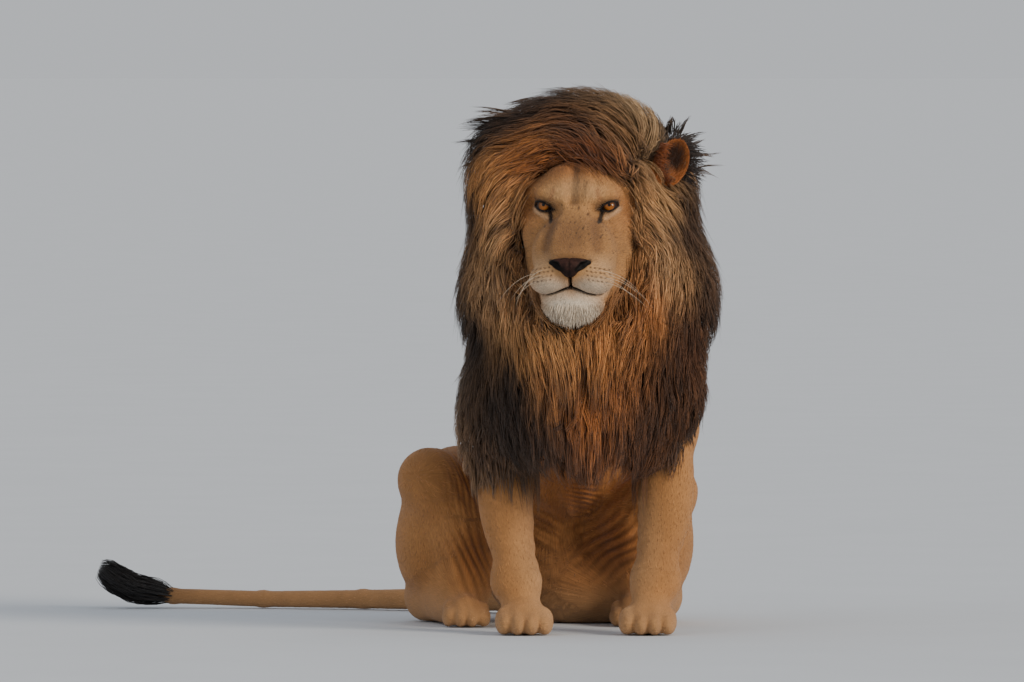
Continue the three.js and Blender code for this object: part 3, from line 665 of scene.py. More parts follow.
def face_markings_and_shade(q, colours):
    m = mirrored(q)
    flat = m * [1, 0, 1]
    flecks = ramp(mottle(q, 13, 2) * mottle(q, 9, 5) - 0.2) * 6
    rim = slit(1)(m)
    rim_width = np.where(m[:, 2] > EYE_PLACE[2], 8.0, 7.5)
    from_eye = np.linalg.norm(m - EYE_PLACE, axis=1)
    lips = ramp((5.0 - lip_gap(q)) / 2.5) * (q[:, 2] < -95)

    def line(a, b, radius, soft):
        """A mark from one (x, z) to another, as seen from the front."""
        seen = rod([a[0], 0, a[1]], radius, [b[0], 0, b[1]], radius)(flat)
        return ramp(1 - seen / soft) * (q[:, 1] < 60)

    return paint(
        colours,
        (TAN, spot(m, [0, 20, -40], [150, 200, 190], 0.5)),
        (RUST * 0.7, 0.7 * spot(m, [0, 20, 108], [130, 120, 50], 1.1)),  # top of the forehead
        (RUST, 0.35 * spot(m, [112, 0, 0], [34, 120, 60], 1.1)),  # temples
        (DARK, 0.6 * line((3, 10), (0, 90), 2.5, 8)),  # streak up the forehead
        (RUST * 0.6, 0.6 * line((50, 18), (46, 34), 2, 6)),  # over the inner corners
        (PALE, 0.25 * line((10, 40), (40, 30), 8, 22)),
        (BROWN, 0.6 * spot(m, [0, -80, -66], [40, 90, 50], 1.0)),  # bridge of the nose
        (BROWN, 0.3 * spot(m, [60, -40, -60], [40, 90, 60], 1.0)),
        (BROWN, 0.5 * line((45, -34), (54, -88), 4, 12)),  # sides of the bridge: painted shade of the crease beside it
        (PALE, 0.5 * spot(m, [64, -110, -136], [40, 70, 34], 0.9)),  # whisker pads
        (CREAM, 0.7 * spot(m, [42, -120, -168], [40, 70, 22], 0.9)),  # upper lip
        (CREAM, spot(m, [0, -110, -215], [70, 80, 32], 0.6)),  # chin
        (DARK, 0.45 * spot(m, [0, -140, -106], [50, 40, 9], 1.0)),  # above the nose pad
        (DARK, flecks * 0.6 * spot(q, [14, -60, -50], [64, 90, 62], 0.8)),
        (DARK, flecks * 0.6 * spot(q, [80, -60, -66], [44, 90, 44], 0.8)),
        *((DARK, 0.8 * spot(q, [x, -80, z], [size, 90, 1.5 * size], 0.9)) for x, z, size in SCARS),
        *((DARK, 0.8 * spot(m, [x, -120, z], [2.2, 60, 1.9], 0.8)) for x, z in whisker_spots()),
        # painted shade round the lids
        (DARK, 0.45 * ramp((15 - rim) / 8) * (from_eye < 44)),
        (UNDER_EYE, 0.75 * line((63, -21), (86, -5), 3.5, 6)),
        (BLACK, ramp((rim_width - rim) / 3) * (from_eye < 38)),  # edges of the lids
        (BLACK, 0.92 * line((54, -7), (51, -30), 2.8, 3)),  # tear marks
        (BLACK, 0.92 * lips * (1 - mouth_end(q)) * (1 - 0.9 * overhung(q))),
        # painted shade inside the nostrils
        (BLACK * 0.3, ramp((5 - nostrils(q)) / 4)),
        (BLACK, 0.95 * spot(m, [0, -140, -149], [3.2, 60, 17], 0.5)),  # the groove under the nose
    )


def from_ears(q):
    """How far points of the head are from the nearer ear's middle."""
    return np.minimum(*(np.linalg.norm(q - middle, axis=1) for middle, _ in EARS))


def ear_markings(q, colours):
    for middle, s in EARS:
        on_ear = spot(q, middle, [58, 46, 74], 0.3)
        behind = ramp((q[:, 1] - middle[1] - 2) / 8)
        colours = paint(
            colours,
            (RUST, 0.75 * on_ear),
            (DARK, on_ear * ramp((2 - ear_cup(middle, s)(q)) / 8)),
            (BLACK, 0.9 * on_ear * behind),
        )
    return colours


# Closer than this to an ear's middle, the skin and the short hair don't take the mane's colours.
EAR_SKIN_REACH = 66
EAR_HAIR_REACH = 70


def markings_and_shade(p):
    """The coat's colours, with some painted shade, on the skin and on the short hair alike."""
    colours = paint(
        np.tile(TAWNY, (len(p), 1)),
        (BROWN, 0.34 * spot(p, [-60, 560, 560], [260, 420, 330], 1.2)),  # back
        (RUST, 0.5 * spot(p, [-20, 150, 240], [120, 190, 190], 0.9)),  # belly folds
        (BROWN, 0.55 * spot(p, [-10, 330, 60], [170, 190, 120], 0.9)),  # painted shade under the belly, by the ground
        (PALE, 0.45 * spot(p, [0, 0, 200], [130, 140, 230], 0.6)),  # inside the forelegs
        (PALE, 0.35 * ramp(1 - p[:, 2] / 90)),  # feet
        (DARK, 0.5 * spot(p, [-1000, 1080, 60], [130, 60, 60], 0.8)),  # end of the tail
    )
    colours = colours * (1 + 0.08 * mottle(p, 190) + 0.06 * mottle(p, 47, 3))[:, None]
    _, wrinkled = wrinkles(p)
    colours = paint(colours, (RUST * 0.8, 0.55 * wrinkled))
    q = to_head(p)
    close = np.linalg.norm(q, axis=1) < 460
    if close.any():
        colours[close] = ear_markings(q[close], face_markings_and_shade(q[close], colours[close]))
    # Skin under the mane takes the mane's colours, made darker there as painted shade under the hair.
    under = ramp(mane_depth(p) / 24) * (from_ears(q) > EAR_SKIN_REACH)
    return paint(colours, (mane_colour(p) * 0.75, 0.9 * under))


# Colours of long hair at places on the mane, as a screen shows them.
MANE_TONES = [
    ([30, -40, 1120], (116, 90, 66)),  # crown
    ([113, -40, 1090], (178, 146, 108)),
    ([60, -90, 1085], (150, 112, 76)),
    ([0, 100, 1130], (84, 64, 50)),
    ([-60, -20, 1120], (66, 51, 42)),
    ([-13, -110, 1065], (112, 72, 44)),
    ([0, -110, 1015], (120, 70, 40)),  # hairline
    ([-139, -40, 1079], (68, 52, 42)),
    ([-230, -20, 1050], (50, 42, 37)),  # blown out over the right ear
    ([-118, -130, 1000], (190, 120, 60)),  # orange forelock
    ([-200, -80, 950], (204, 144, 86)),
    ([60, -120, 1030], (134, 92, 56)),
    ([0, 160, 1060], (78, 60, 48)),
    ([0, 280, 850], (52, 42, 36)),  # nape
    ([-240, 0, 900], (72, 56, 44)),
    ([250, 20, 900], (80, 60, 46)),
    ([-181, -120, 827], (208, 158, 108)),  # right of the ruff
    ([-205, -100, 720], (196, 150, 106)),
    ([-172, -140, 665], (204, 152, 102)),
    ([-121, -190, 610], (202, 144, 88)),
    ([-160, -160, 560], (58, 45, 36)),
    ([-254, -60, 617], (58, 47, 40)),
    ([134, -120, 911], (198, 150, 100)),  # left of the ruff
    ([130, -110, 985], (186, 142, 98)),  # before the left ear
    ([176, -130, 785], (206, 158, 110)),
    ([113, -170, 701], (188, 120, 66)),
    ([218, -60, 848], (88, 64, 48)),
    ([250, -20, 701], (84, 60, 43)),
    ([218, -90, 596], (98, 62, 39)),
    ([0, -170, 700], (166, 104, 58)),  # throat
    ([8, -240, 596], (200, 132, 72)),
    ([-55, -230, 617], (196, 140, 84)),
    ([-80, -215, 550], (176, 118, 70)),
    ([8, -200, 449], (176, 108, 56)),  # the ruff's point
    ([29, -180, 365], (150, 92, 52)),
    ([70, -190, 500], (164, 102, 56)),
    ([90, -170, 400], (112, 72, 44)),
    ([-181, -150, 491], (56, 45, 38)),
    ([-97, -170, 386], (84, 60, 44)),
    ([-160, -110, 386], (68, 54, 44)),
    ([176, -130, 533], (94, 61, 38)),
    ([134, -150, 449], (88, 58, 38)),
    ([-220, 60, 700], (46, 38, 33)),  # shoulders
    ([240, 80, 640], (52, 42, 36)),
    ([0, 200, 650], (62, 48, 40)),
    ([-180, 60, 520], (54, 44, 38)),
    ([-262, 40, 530], (104, 86, 70)),
    ([-255, 60, 430], (146, 116, 90)),  # right elbow
    ([-240, 40, 330], (150, 116, 86)),
    ([-200, -40, 390], (112, 84, 62)),
    ([200, 60, 450], (48, 38, 33)),
    ([200, 80, 1070], (56, 46, 40)),  # behind the left ear
]
TONE_PLACES = [np.array(place, float) for place, _ in MANE_TONES]
TONE_COLOURS = [tone(*shade) for _, shade in MANE_TONES]


def blend_places(p, places, values, softness):
    """Values mixed by how near their places are. Softness, an area, rounds the mix off at each place."""
    total, weights = 0, 0
    for place, value in zip(places, values):
        weight = 1 / (softness + np.sum((p - place) ** 2, axis=-1)) ** 2
        total = total + weight[..., None] * value
        weights = weights + weight
    return total / weights[..., None]


def mane_colour(p):
    return blend_places(p, TONE_PLACES, TONE_COLOURS, 30**2)


# -------- meshes
SHIFT = (np.array(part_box("eye_left")).mean(0) + np.array(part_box("eye_right")).mean(0)) / 2 / MM
SHIFT = SHIFT - from_head([0, EYE_PLACE[1], 0])  # from the animal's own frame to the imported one


def add_object(name, data):
    made = bpy.data.objects.new(name, data)
    bpy.context.scene.collection.objects.link(made)
    return made


def add_mesh(name, corners, faces, material, colours, maps=()):
    """A mesh object from millimetre corners, with colours at its corners and named UV maps. A map has a place
    for each corner of the mesh, or for each corner of each face."""
    mesh = bpy.data.meshes.new(name)
    count, sides = faces.shape
    mesh.vertices.add(len(corners))
    mesh.vertices.foreach_set("co", ((corners + SHIFT) * MM).astype(np.float32).ravel())
    mesh.loops.add(count * sides)
    mesh.loops.foreach_set("vertex_index", faces.astype(np.int32).ravel())
    mesh.polygons.add(count)
    mesh.polygons.foreach_set("loop_start", np.arange(0, count * sides, sides, dtype=np.int32))
    mesh.polygons.foreach_set("use_smooth", np.ones(count, bool))
    mesh.update(calc_edges=True)
    shades = np.column_stack([ramp(colours), np.ones(len(corners))])
    layer = mesh.color_attributes.new("MarkingsAndShade", "FLOAT_COLOR", "POINT")
    layer.data.foreach_set("color", shades.astype(np.float32).ravel())
    for map_name, places in dict(maps).items():
        layer = mesh.uv_layers.new(name=map_name, do_init=False)
        loops = places if len(places) == count * sides else places[faces.ravel()]
        layer.uv.foreach_set("vector", loops.astype(np.float32).ravel())
    mesh.materials.append(material)
    made = add_object(name, mesh)
    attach(made, "root")
    return made


# -------- materials
def new_material(name, **values):
    """A material, as two helpers. The first adds a node and gives one of its outputs, and the second joins a
    colour and a normal to the shader and gives the material."""
    made = bpy.data.materials.new(name)
    made.use_nodes = True
    tree = made.node_tree
    shader = tree.nodes["Principled BSDF"]
    for key, value in values.items():
        shader.inputs[key.replace("_", " ")].default_value = value

    def add(kind, output, inputs=(), **settings):
        node = tree.nodes.new("ShaderNode" + kind)
        for key, value in settings.items():
            setattr(node, key, value)
        for key, value in dict(inputs).items():
            if isinstance(value, bpy.types.NodeSocket):
                tree.links.new(value, node.inputs[key])
            else:
                node.inputs[key].default_value = value
        return node.outputs[output]

    def finish(colour, normal=None):
        tree.links.new(colour, shader.inputs["Base Color"])
        if normal is not None:
            tree.links.new(normal, shader.inputs["Normal"])
        return made

    return add, finish


def shaded(add, texture, low, high):
    """The mesh's own colours, scaled from low to high as a texture goes from dark to light."""
    colour = add("Attribute", "Color", attribute_name="MarkingsAndShade")
    scale = add("MapRange", "Result", {"Value": texture, "From Min": 0.3, "From Max": 0.7,
                                       "To Min": low, "To Max": high})
    return add("VectorMath", "Vector", {0: colour, "Scale": scale}, operation="SCALE")


def streaked(name, stretch, strength, bump, wrinkled=False, **values):
    """Hair: the mesh's own colours, with fine streaks along the lie that also raise the surface. The skin's
    wrinkles come as a map that holds their phase and strength."""
    add, finish = new_material(name, **values)
    lie = add("UVMap", "UV", uv_map="Lie")
    place = add("Mapping", "Vector", {"Vector": lie, "Scale": stretch})
    streaks = add("TexNoise", "Fac", {"Vector": place, "Scale": 1.0, "Detail": 3.0, "Roughness": 0.65})
    colour = shaded(add, streaks, 1 - strength, 1 + strength * 0.6)
    raised = add("Bump", "Normal", {"Height": streaks, "Strength": bump, "Distance": 0.002})
    if wrinkled:
        wrinkle_map = add("UVMap", "UV", uv_map="Wrinkles")
        phase = add("SeparateXYZ", "X", {"Vector": wrinkle_map})
        depth = phase.node.outputs["Y"]
        angle = add("Math", "Value", {0: phase, 1: 2 * math.pi}, operation="MULTIPLY")
        wave = add("Math", "Value", {0: angle}, operation="SINE")
        height = add("Math", "Value", {0: wave, 1: depth}, operation="MULTIPLY")
        raised = add("Bump", "Normal", {"Height": height, "Strength": 0.8, "Distance": 0.003,
                                        "Normal": raised})
        # The colour is darkened in the wrinkles' creases: painted shade.
        crease_shade = add("MapRange", "Result", {"Value": height, "From Min": -1.0, "From Max": 0.2,
                                             "To Min": 0.4, "To Max": 1.0})
        colour = add("VectorMath", "Vector", {0: colour, "Scale": crease_shade}, operation="SCALE")
    return finish(colour, raised)


skin_material = streaked("short_coat_skin", (0.7, 0.07, 1), 0.36, 0.7, wrinkled=True, Roughness=0.8,
                         Sheen_Weight=0.1, Sheen_Roughness=0.5, Specular_IOR_Level=0.2)
fur_material = streaked("short_coat", (3, 0.6, 1), 0.25, 0.2, Roughness=0.75, Sheen_Weight=0.1,
                        Specular_IOR_Level=0.22)
mane_material = streaked("mane_hair", (6, 1.2, 1), 0.42, 0.3, Roughness=0.6, Sheen_Weight=0.12,
                         Specular_IOR_Level=0.3)


def nose_material():
    add, finish = new_material("nose_leather", Roughness=0.6, Specular_IOR_Level=0.14)
    place = add("TexCoord", "Object")
    pebbles = add("TexVoronoi", "Distance", {"Vector": place, "Scale": 620.0})
    stains = add("TexNoise", "Fac", {"Vector": place, "Scale": 120.0, "Detail": 4.0})
    raised = add("Bump", "Normal", {"Height": pebbles, "Strength": 0.5, "Distance": 0.001})
    return finish(shaded(add, stains, 0.5, 1.4), raised)


def eye_material():
    add, finish = new_material("eye", Roughness=0.5, Specular_IOR_Level=0.05, Coat_Weight=1.0,
                               Coat_Roughness=0.04, Coat_IOR=1.35)
    place = add("TexCoord", "Object")
    fibres = add("TexNoise", "Fac", {"Vector": place, "Scale": 900.0, "Detail": 2.0})
    return finish(shaded(add, fibres, 0.8, 1.15))


def floor_material():
    add, finish = new_material("studio_floor", Roughness=0.9, Specular_IOR_Level=0.1)
    place = add("TexCoord", "Object")
    grain = add("TexNoise", "Fac", {"Vector": place, "Scale": 3.0, "Detail": 6.0})
    colour = add("ValToRGB", "Color", {"Fac": grain})
    darker, lighter = colour.node.color_ramp.elements
    darker.color = (0.60, 0.63, 0.67, 1)
    lighter.color = (0.65, 0.68, 0.72, 1)
    return finish(colour)


# -------- skin
SKIN_OVERLAP = 5  # how far the skin's fine and coarse parts reach past the line between them
NOSE_TIP = np.array([0.0, -170.0, -120.0])


def fine_zone(p):
    """Negative where the skin's fine part lies: the face and the ears."""
    ears = [mass(middle, [76, 62, 92]) for middle, _ in EARS]
    return blend(20, mass([0, -60, -50], [170, 168, 208]), *ears)(to_head(p))


def lie_map(p, faces):
    """Millimetres round and along the way the hair lies, at each face's corners. It runs along the spines,
    and on the head out from the tip of the nose."""
    chart, share, angle, _ = unwrap(p)
    q = to_head(p) - NOSE_TIP
    head_part = chart == 0
    along = np.where(head_part, np.linalg.norm(q, axis=1), share * 900)
    angle = np.where(head_part, np.arctan2(q[:, 0], -q[:, 2]) / (2 * math.pi) + 0.5, angle)
    turn = angle[faces]
    turn = turn + ((turn.max(1) - turn.min(1) > 0.5)[:, None] & (turn < 0.5))
    return np.stack([turn * 600 + 700 * chart[faces], along[faces]], -1).reshape(-1, 2)


PAIRED_NODES = ["upper_foreleg", "forearm", "forepaw", "thigh", "shank", "hind_foot", "ear"]


def make_skin():
    """The skin of the whole animal, with its corners, their normals and how many of them are fine ones."""
    fine_low, fine_high = EYE_MID + [-260, -220, -290], EYE_MID + [280, 260, 200]
    fine, fine_faces = surface_of(skin_field, fine_low, fine_high, FACE_STEP)
    wanted = fine_zone(fine[fine_faces].mean(1)) < SKIN_OVERLAP
    fine, fine_faces = keep(fine, fine_faces, wanted)
    coarse, coarse_faces = surface_of(skin_field, [-1050, -160, -20], [280, 1150, 1060], BODY_STEP)
    wanted = fine_zone(coarse[coarse_faces].mean(1)) > -SKIN_OVERLAP
    coarse, coarse_faces = keep(coarse, coarse_faces, wanted)
    corners = np.concatenate([settle(skin_field, fine), settle(skin_field, coarse)])
    faces = np.concatenate([fine_faces, coarse_faces + len(fine)])
    maps = {"Lie": lie_map(corners, faces), "Wrinkles": np.stack(wrinkles(corners), -1)}
    skin = add_mesh("skin", corners, faces, skin_material, markings_and_shade(corners), maps)
    nodes = ["head", "neck", "lower_jaw", "chest", "belly", "rump", "tail_root", "tail_middle", "tail_end"]
    for side in ("left", "right"):
        nodes += [f"{part}_{side}" for part in PAIRED_NODES]
    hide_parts(*nodes)
    return corners, normals_of(corners, faces), len(fine)


skin_corners, skin_normals, fine_count = make_skin()


# -------- tufts of hair
PATCH = 0.003  # a tuft's size on the unit square of its map


def add_coat(name, paths, ups, widths, heights, colours, material):
    """Tapered three-sided tufts along paths, joined into pieces of at most MOST_IN_A_PIECE triangles."""
    count, rows = paths.shape[:2]
    tangents = unit(np.gradient(paths, axis=1))
    sides = unit(np.cross(tangents, ups))
    over = np.cross(sides, tangents)
    t = np.linspace(0, 1, rows)[None, :, None]
    swell = (0.55 + 1.5 * t - 2.05 * t * t)[:, : rows - 1]
    half = widths[:, None, None] / 2 * swell
    rise = heights[:, None, None] * swell
    body = paths[:, : rows - 1]
    rings = np.stack([body + sides[:, : rows - 1] * half, body + over[:, : rows - 1] * rise,
                      body - sides[:, : rows - 1] * half], 2)
    corners = np.concatenate([rings.reshape(count, -1, 3), paths[:, -1:]], 1)
    shade = np.concatenate([np.repeat(colours[:, : rows - 1], 3, axis=1), colours[:, -1:]], 1)
    ring = np.arange(3)
    following = (ring + 1) % 3
    faces = [[0, 2, 1]]
    for i in range(rows - 2):
        base = 3 * i
        for a, b in zip(ring, following):
            faces += [[base + a, base + b, base + 3 + b], [base + a, base + 3 + b, base + 3 + a]]
    last = 3 * (rows - 2)
    faces += [[last + a, last + b, last + 3] for a, b in zip(ring, following)]
    faces = np.array(faces)
    patch = atlas(*unwrap(paths[:, 0])[:3])
    across = np.append(np.tile([0.0, 0.5, 1.0], rows - 1), 0.5)
    along = np.append(np.repeat(np.linspace(0, 1, rows)[:-1], 3), 1.0)
    own = np.stack([across, along], -1)
    bake = patch[:, None, :] + (own - 0.5) * PATCH
    lie = own[None] + random.uniform(0, 60, (count, 1, 2))
    each = MOST_IN_A_PIECE // len(faces)
    made = []
    for number, start in enumerate(range(0, count, each)):
        part = slice(start, min(count, start + each))
        size = part.stop - part.start
        index = (faces[None] + (np.arange(size) * corners.shape[1])[:, None, None]).reshape(-1, 3)
        maps = {"OFBake": bake[part].reshape(-1, 2), "Lie": lie[part].reshape(-1, 2)}
        made.append(add_mesh(f"{name}_{number + 1}", corners[part].reshape(-1, 3), index, material,
                             shade[part].reshape(-1, 3), maps))
    return made


def spread(p, cell):
    """The index of one point in each cube of a grid, drawn at random."""
    order = random.permutation(len(p))
    cubes = np.floor((p[order] + random.uniform(0, cell, 3)) / cell).astype(int)
    _, first = np.unique(cubes, axis=0, return_index=True)
    return order[first]


# Which way the hair runs at places on the mane: a wind sweeps the crown to the lion's right.
LIE = [
    ([90, -110, 1050], [-0.75, -0.1, 0.55]),  # crown, left of the middle
    ([0, -80, 1130], [-1, 0, 0.05]),
    ([-110, -90, 1110], [-0.9, -0.1, -0.4]),
    ([-190, -80, 1050], [-0.95, 0, -0.1]),  # over the right ear, blown outwards
    ([-240, -40, 980], [-0.3, 0.1, -0.9]),
    ([-110, -130, 1000], [-0.85, -0.1, -0.5]),  # forelock
    ([-50, -140, 1015], [-0.85, 0, 0.35]),
    ([20, -140, 1020], [-0.5, 0.1, 0.85]),  # up from the forehead
    ([75, -130, 1010], [-0.35, 0.1, 0.9]),
    ([125, -110, 985], [-0.05, -0.1, -1]),  # before the left ear
    ([155, -90, 930], [0.3, 0, -0.95]),
    ([150, -60, 1080], [-0.5, 0.4, 0.6]),
    ([230, -20, 1000], [0.25, 0.5, -0.8]),  # behind the left ear
    ([0, 80, 1110], [-0.75, 0.55, -0.15]),  # back of the crown
    ([0, 200, 960], [-0.35, 0.75, -0.6]),  # nape
    ([0, 290, 800], [-0.1, 0.75, -0.65]),
    ([-250, 0, 900], [-0.1, 0.15, -1]),  # right side
    ([250, 0, 900], [0.1, 0.15, -1]),  # left side
    ([-150, -130, 860], [-0.75, -0.05, -0.65]),  # right cheek
    ([140, -130, 860], [0.75, -0.05, -0.65]),  # left cheek
    ([-150, -150, 740], [0.2, -0.2, -0.95]),  # the ruff's sides
    ([150, -150, 740], [-0.2, -0.2, -0.95]),
    ([-90, -210, 640], [0.45, -0.1, -0.9]),  # the ruff draws in to a point
    ([100, -210, 640], [-0.45, -0.1, -0.9]),
    ([0, -240, 640], [0, -0.25, -1]),  # throat
    ([0, -180, 720], [0, -0.3, -1]),
    ([-70, -190, 730], [0.08, -0.3, -1]),
    ([70, -190, 730], [-0.08, -0.3, -1]),
    ([-240, 60, 640], [0.05, 0.3, -0.95]),  # shoulders
    ([240, 60, 640], [-0.05, 0.3, -0.95]),
    ([-200, 60, 450], [0.15, 0.15, -1]),
    ([200, 60, 450], [-0.15, 0.15, -1]),
    ([0, -170, 450], [0, 0.1, -1]),  # breast
]
LIE_PLACES = [np.array(place, float) for place, _ in LIE]
LIE_WAYS = [np.array(way, float) for _, way in LIE]
# Locks that stand off the mane, from root to tip.
LOOSE_LOCKS = [
    ([-120, -30, 1080], [-246, -50, 1088]),
    ([-140, -10, 1070], [-262, -30, 1066]),
    ([-150, 0, 1052], [-276, -20, 1046]),
    ([-170, 0, 1030], [-284, -20, 1012]),
    ([-175, 20, 1005], [-280, 0, 975]),
    ([-60, 40, 1105], [-186, 70, 1100]),
    ([-120, 60, 1075], [-238, 100, 1072]),
    ([166, 60, 1040], [188, 66, 1080]),
    ([182, 70, 1025], [208, 76, 1064]),
    ([190, 80, 1010], [258, 80, 1036]),
    ([190, 90, 980], [282, 90, 985]),
    ([190, 90, 960], [272, 100, 945]),
]
LEAST_LIFT = 6  # of the lowest layer over the skin
GUIDE_ROWS = 10  # points along a guide


def mane_lie(p):
    return unit(blend_places(p, LIE_PLACES, LIE_WAYS, 20**2))


def layer(share):
    """A surface a share of the way from the skin to the mane's outside, at least LEAST_LIFT off the skin."""
    def field(p):
        skin = plain_flesh(p)
        return np.minimum(skin + share * (mane_tips(p) - skin), skin - LEAST_LIFT)

    return field


def flattened(way, normal):
    """Directions laid flat on a surface."""
    return unit(way - np.sum(way * normal, 1)[:, None] * normal)


def follow(start, shares, step, wander, sign):
    """Paths from layer to layer of the mane, along the lie of its hair, or against it where sign is -1."""
    p = start
    path, ups = [], []
    for i, share in enumerate(shares):
        if i:
            way = sign * mane_lie(p) + wander * math.sin(math.pi * i / len(shares))
            p = p + flattened(way, up) * step[:, None]
        value, rise = slope(layer(share), p)
        up = unit(rise)
        if i:
            most = 1.2 * step
            p = p - np.clip(value, -most, most)[:, None] * up
        path.append(p)
        ups.append(up)
    return np.stack(path, 1), np.stack(ups, 1)


def grow_from_skin(roots, lengths, wander):
    """Paths that climb from the skin."""
    t = np.linspace(0, 1, GUIDE_ROWS)[1:]
    path, ups = follow(roots, [0.05, *(0.92 * t**0.8)], lengths / (GUIDE_ROWS - 1), wander, 1)
    path[:, 0] -= 7 * ups[:, 0]
    return path, ups


def grow_to_tips(tips, lengths, wander):
    """Paths that reach given tips on the mane's outside, found from the tip back to the skin."""
    t = np.linspace(0, 1, GUIDE_ROWS - 1)
    path, ups = follow(tips, 1 - t**1.7, lengths / (GUIDE_ROWS - 1), wander, -1)
    ahead = unit(unit(path[:, 0] - path[:, 1]) + ups[:, 0] * random.uniform(0, 0.45, (len(tips), 1)))
    ahead[:, 2] -= 0.25
    loose = path[:, 0] + ahead * (lengths * random.uniform(0.04, 0.2, len(tips)))[:, None]
    path = np.concatenate([loose[:, None], path], 1)[:, ::-1]
    ups = np.concatenate([ups[:, :1], ups], 1)[:, ::-1]
    return path, ups


def along_rows(rows, owner, share):
    """Points a share of the way along rows of points, each with the number of its row."""
    last = rows.shape[1] - 1
    at = ramp(share) * last
    low = np.minimum(at.astype(int), last - 1)
    rest = (at - low)[..., None]
    return rows[owner[:, None], low] * (1 - rest) + rows[owner[:, None], low + 1] * rest


def comb(guides, ups, each, rows, breadth, depth, gather):
    """Single tufts about each guide, drawn together towards its tip."""
    owner = np.repeat(np.arange(len(guides)), each)
    count = len(owner)
    start = random.uniform(0, 0.22, count)
    end = random.uniform(0.72, 1.0, count)
    share = start[:, None] + (end - start)[:, None] * np.linspace(0, 1, rows)
    centre = along_rows(guides, owner, share)
    up = unit(along_rows(ups, owner, share))
    side = unit(np.cross(np.gradient(centre, axis=1), up))
    narrow = 1 - gather * share**1.4
    wave = np.sin(share * random.uniform(4, 9, (count, 1)) + random.uniform(0, 6.3, (count, 1)))
    off = random.uniform(-0.5, 0.5, (count, 1)) * breadth[owner][:, None] * narrow + 4 * wave * share
    lift = random.uniform(-0.5, 0.5, (count, 1)) * depth[owner][:, None] * narrow
    return owner, centre + side * off[..., None] + up * lift[..., None], up


def loose_guides():
    """Bent paths of the locks that stand off, three for each."""
    pairs = np.array(LOOSE_LOCKS, float).repeat(3, axis=0)
    starts = pairs[:, 0] + random.normal(0, 9, (len(pairs), 3))
    ends = pairs[:, 1] + random.normal(0, 11, (len(pairs), 3))
    t = np.linspace(0, 1, GUIDE_ROWS)[None, :, None]
    bow = np.array([0, -4, 11]) * np.sin(math.pi * t) + np.array([0, 0, 9]) * t**3
    paths = starts[:, None] + (ends - starts)[:, None] * t + bow
    ups = np.tile(unit(np.array([0.0, -0.4, 0.9])), (*paths.shape[:2], 1))
    return paths, ups


def mane_guides():
    """Paths for locks of hair, rooted all over the mane's ground and ending all over its outside."""
    thick = mane_depth(skin_corners)
    hairy = np.flatnonzero(thick > 4)
    chosen = hairy[spread(skin_corners[hairy], MANE_GUIDES_APART * 1.35)]
    roots, room = skin_corners[chosen], thick[chosen]
    rooted = MANE_HAIR * np.clip(room / FULL_ROOM, 0.16, 1) * random.uniform(0.8, 1.2, len(roots))
    first = grow_from_skin(roots, rooted, random.normal(0, 0.16, (len(roots), 3)))

    outside, _ = surface_of(mane_tips, [-320, -340, 280], [320, 420, 1200], 14)
    outside = settle(mane_tips, outside)
    outside = outside[plain_flesh(outside) > 12]
    tips = outside[spread(outside, MANE_GUIDES_APART)]
    _, rise = slope(mane_tips, tips)
    runs_out = np.sum(unit(rise) * mane_lie(tips), 1)
    slanting = (runs_out > -0.45) & (runs_out < 0.85)
    tips = tips[slanting] - unit(rise)[slanting] * random.uniform(-5, 16, (slanting.sum(), 1))
    room_there = np.clip(plain_flesh(tips) / FULL_ROOM, 0.3, 1)
    tipped = MANE_HAIR * room_there * random.uniform(0.75, 1.25, len(tips))
    second = grow_to_tips(tips, tipped, random.normal(0, 0.19, (len(tips), 3)))
    third = loose_guides()
    paths, ups = (np.concatenate(parts) for parts in zip(first, second, third))
    loose_count = len(third[0])
    full = np.concatenate([np.clip(room / 60, 0.2, 1), np.ones(len(tips)), np.full(loose_count, 0.35)])

    muzzle_room = mass([0, -110, -110], [84, 100, 148])
    before_face = muzzle_room(to_head(paths.reshape(-1, 3))).reshape(len(paths), -1)
    run = unit(paths[:, -1] - paths[:, 0])
    combed_well = np.sum(run * mane_lie(paths[:, 4]), 1) > 0.35
    loose = np.arange(len(paths)) >= len(paths) - loose_count
    under_belly = (paths[:, -1, 1] > 130) & (paths[:, -1, 2] < 420)
    good = (before_face.min(1) > 0) & (combed_well | loose) & ~under_belly
    return paths[good], ups[good], full[good]


def make_mane():
    guides, ups, fullness = mane_guides()
    breadth = random.uniform(20, 36, len(guides)) * (0.4 + 0.6 * fullness)
    owner, paths, up = comb(guides, ups, HAIRS_A_GUIDE, 6, breadth, 16 * fullness, 0.78)
    paths[..., 2] = np.maximum(paths[..., 2], 4)
    here = mane_colour(paths)
    there = mane_colour(paths[:, 3])[:, None]
    # Each hair is darker at its root, as painted shade deep in the mane, and a little lighter at its tip.
    depth = np.linspace(0.66, 1.12, paths.shape[1])[None, :, None]
    lock_shade = random.normal(1, 0.26, len(guides))[owner]
    hair_shade = random.normal(1, 0.2, len(paths))
    shade = np.clip(lock_shade * hair_shade, 0.4, 1.8)[:, None, None]
    q = to_head(paths.reshape(-1, 3))
    edge = ramp(1 - face_window(q) / 36).reshape(paths.shape[:2])
    upper = ramp((q[:, 2:] - 30) / 50)
    by_face = (TAWNY + (RUST * 0.75 - TAWNY) * upper).reshape(paths.shape)
    base = 0.5 * here + 0.5 * there
    colours = (base + (by_face - base) * (0.55 * edge)[..., None]) * depth * shade
    widths = random.uniform(1.8, 3.4, len(paths))
    add_coat("mane", paths, up, widths, widths * 0.35, colours, mane_material)


make_mane()


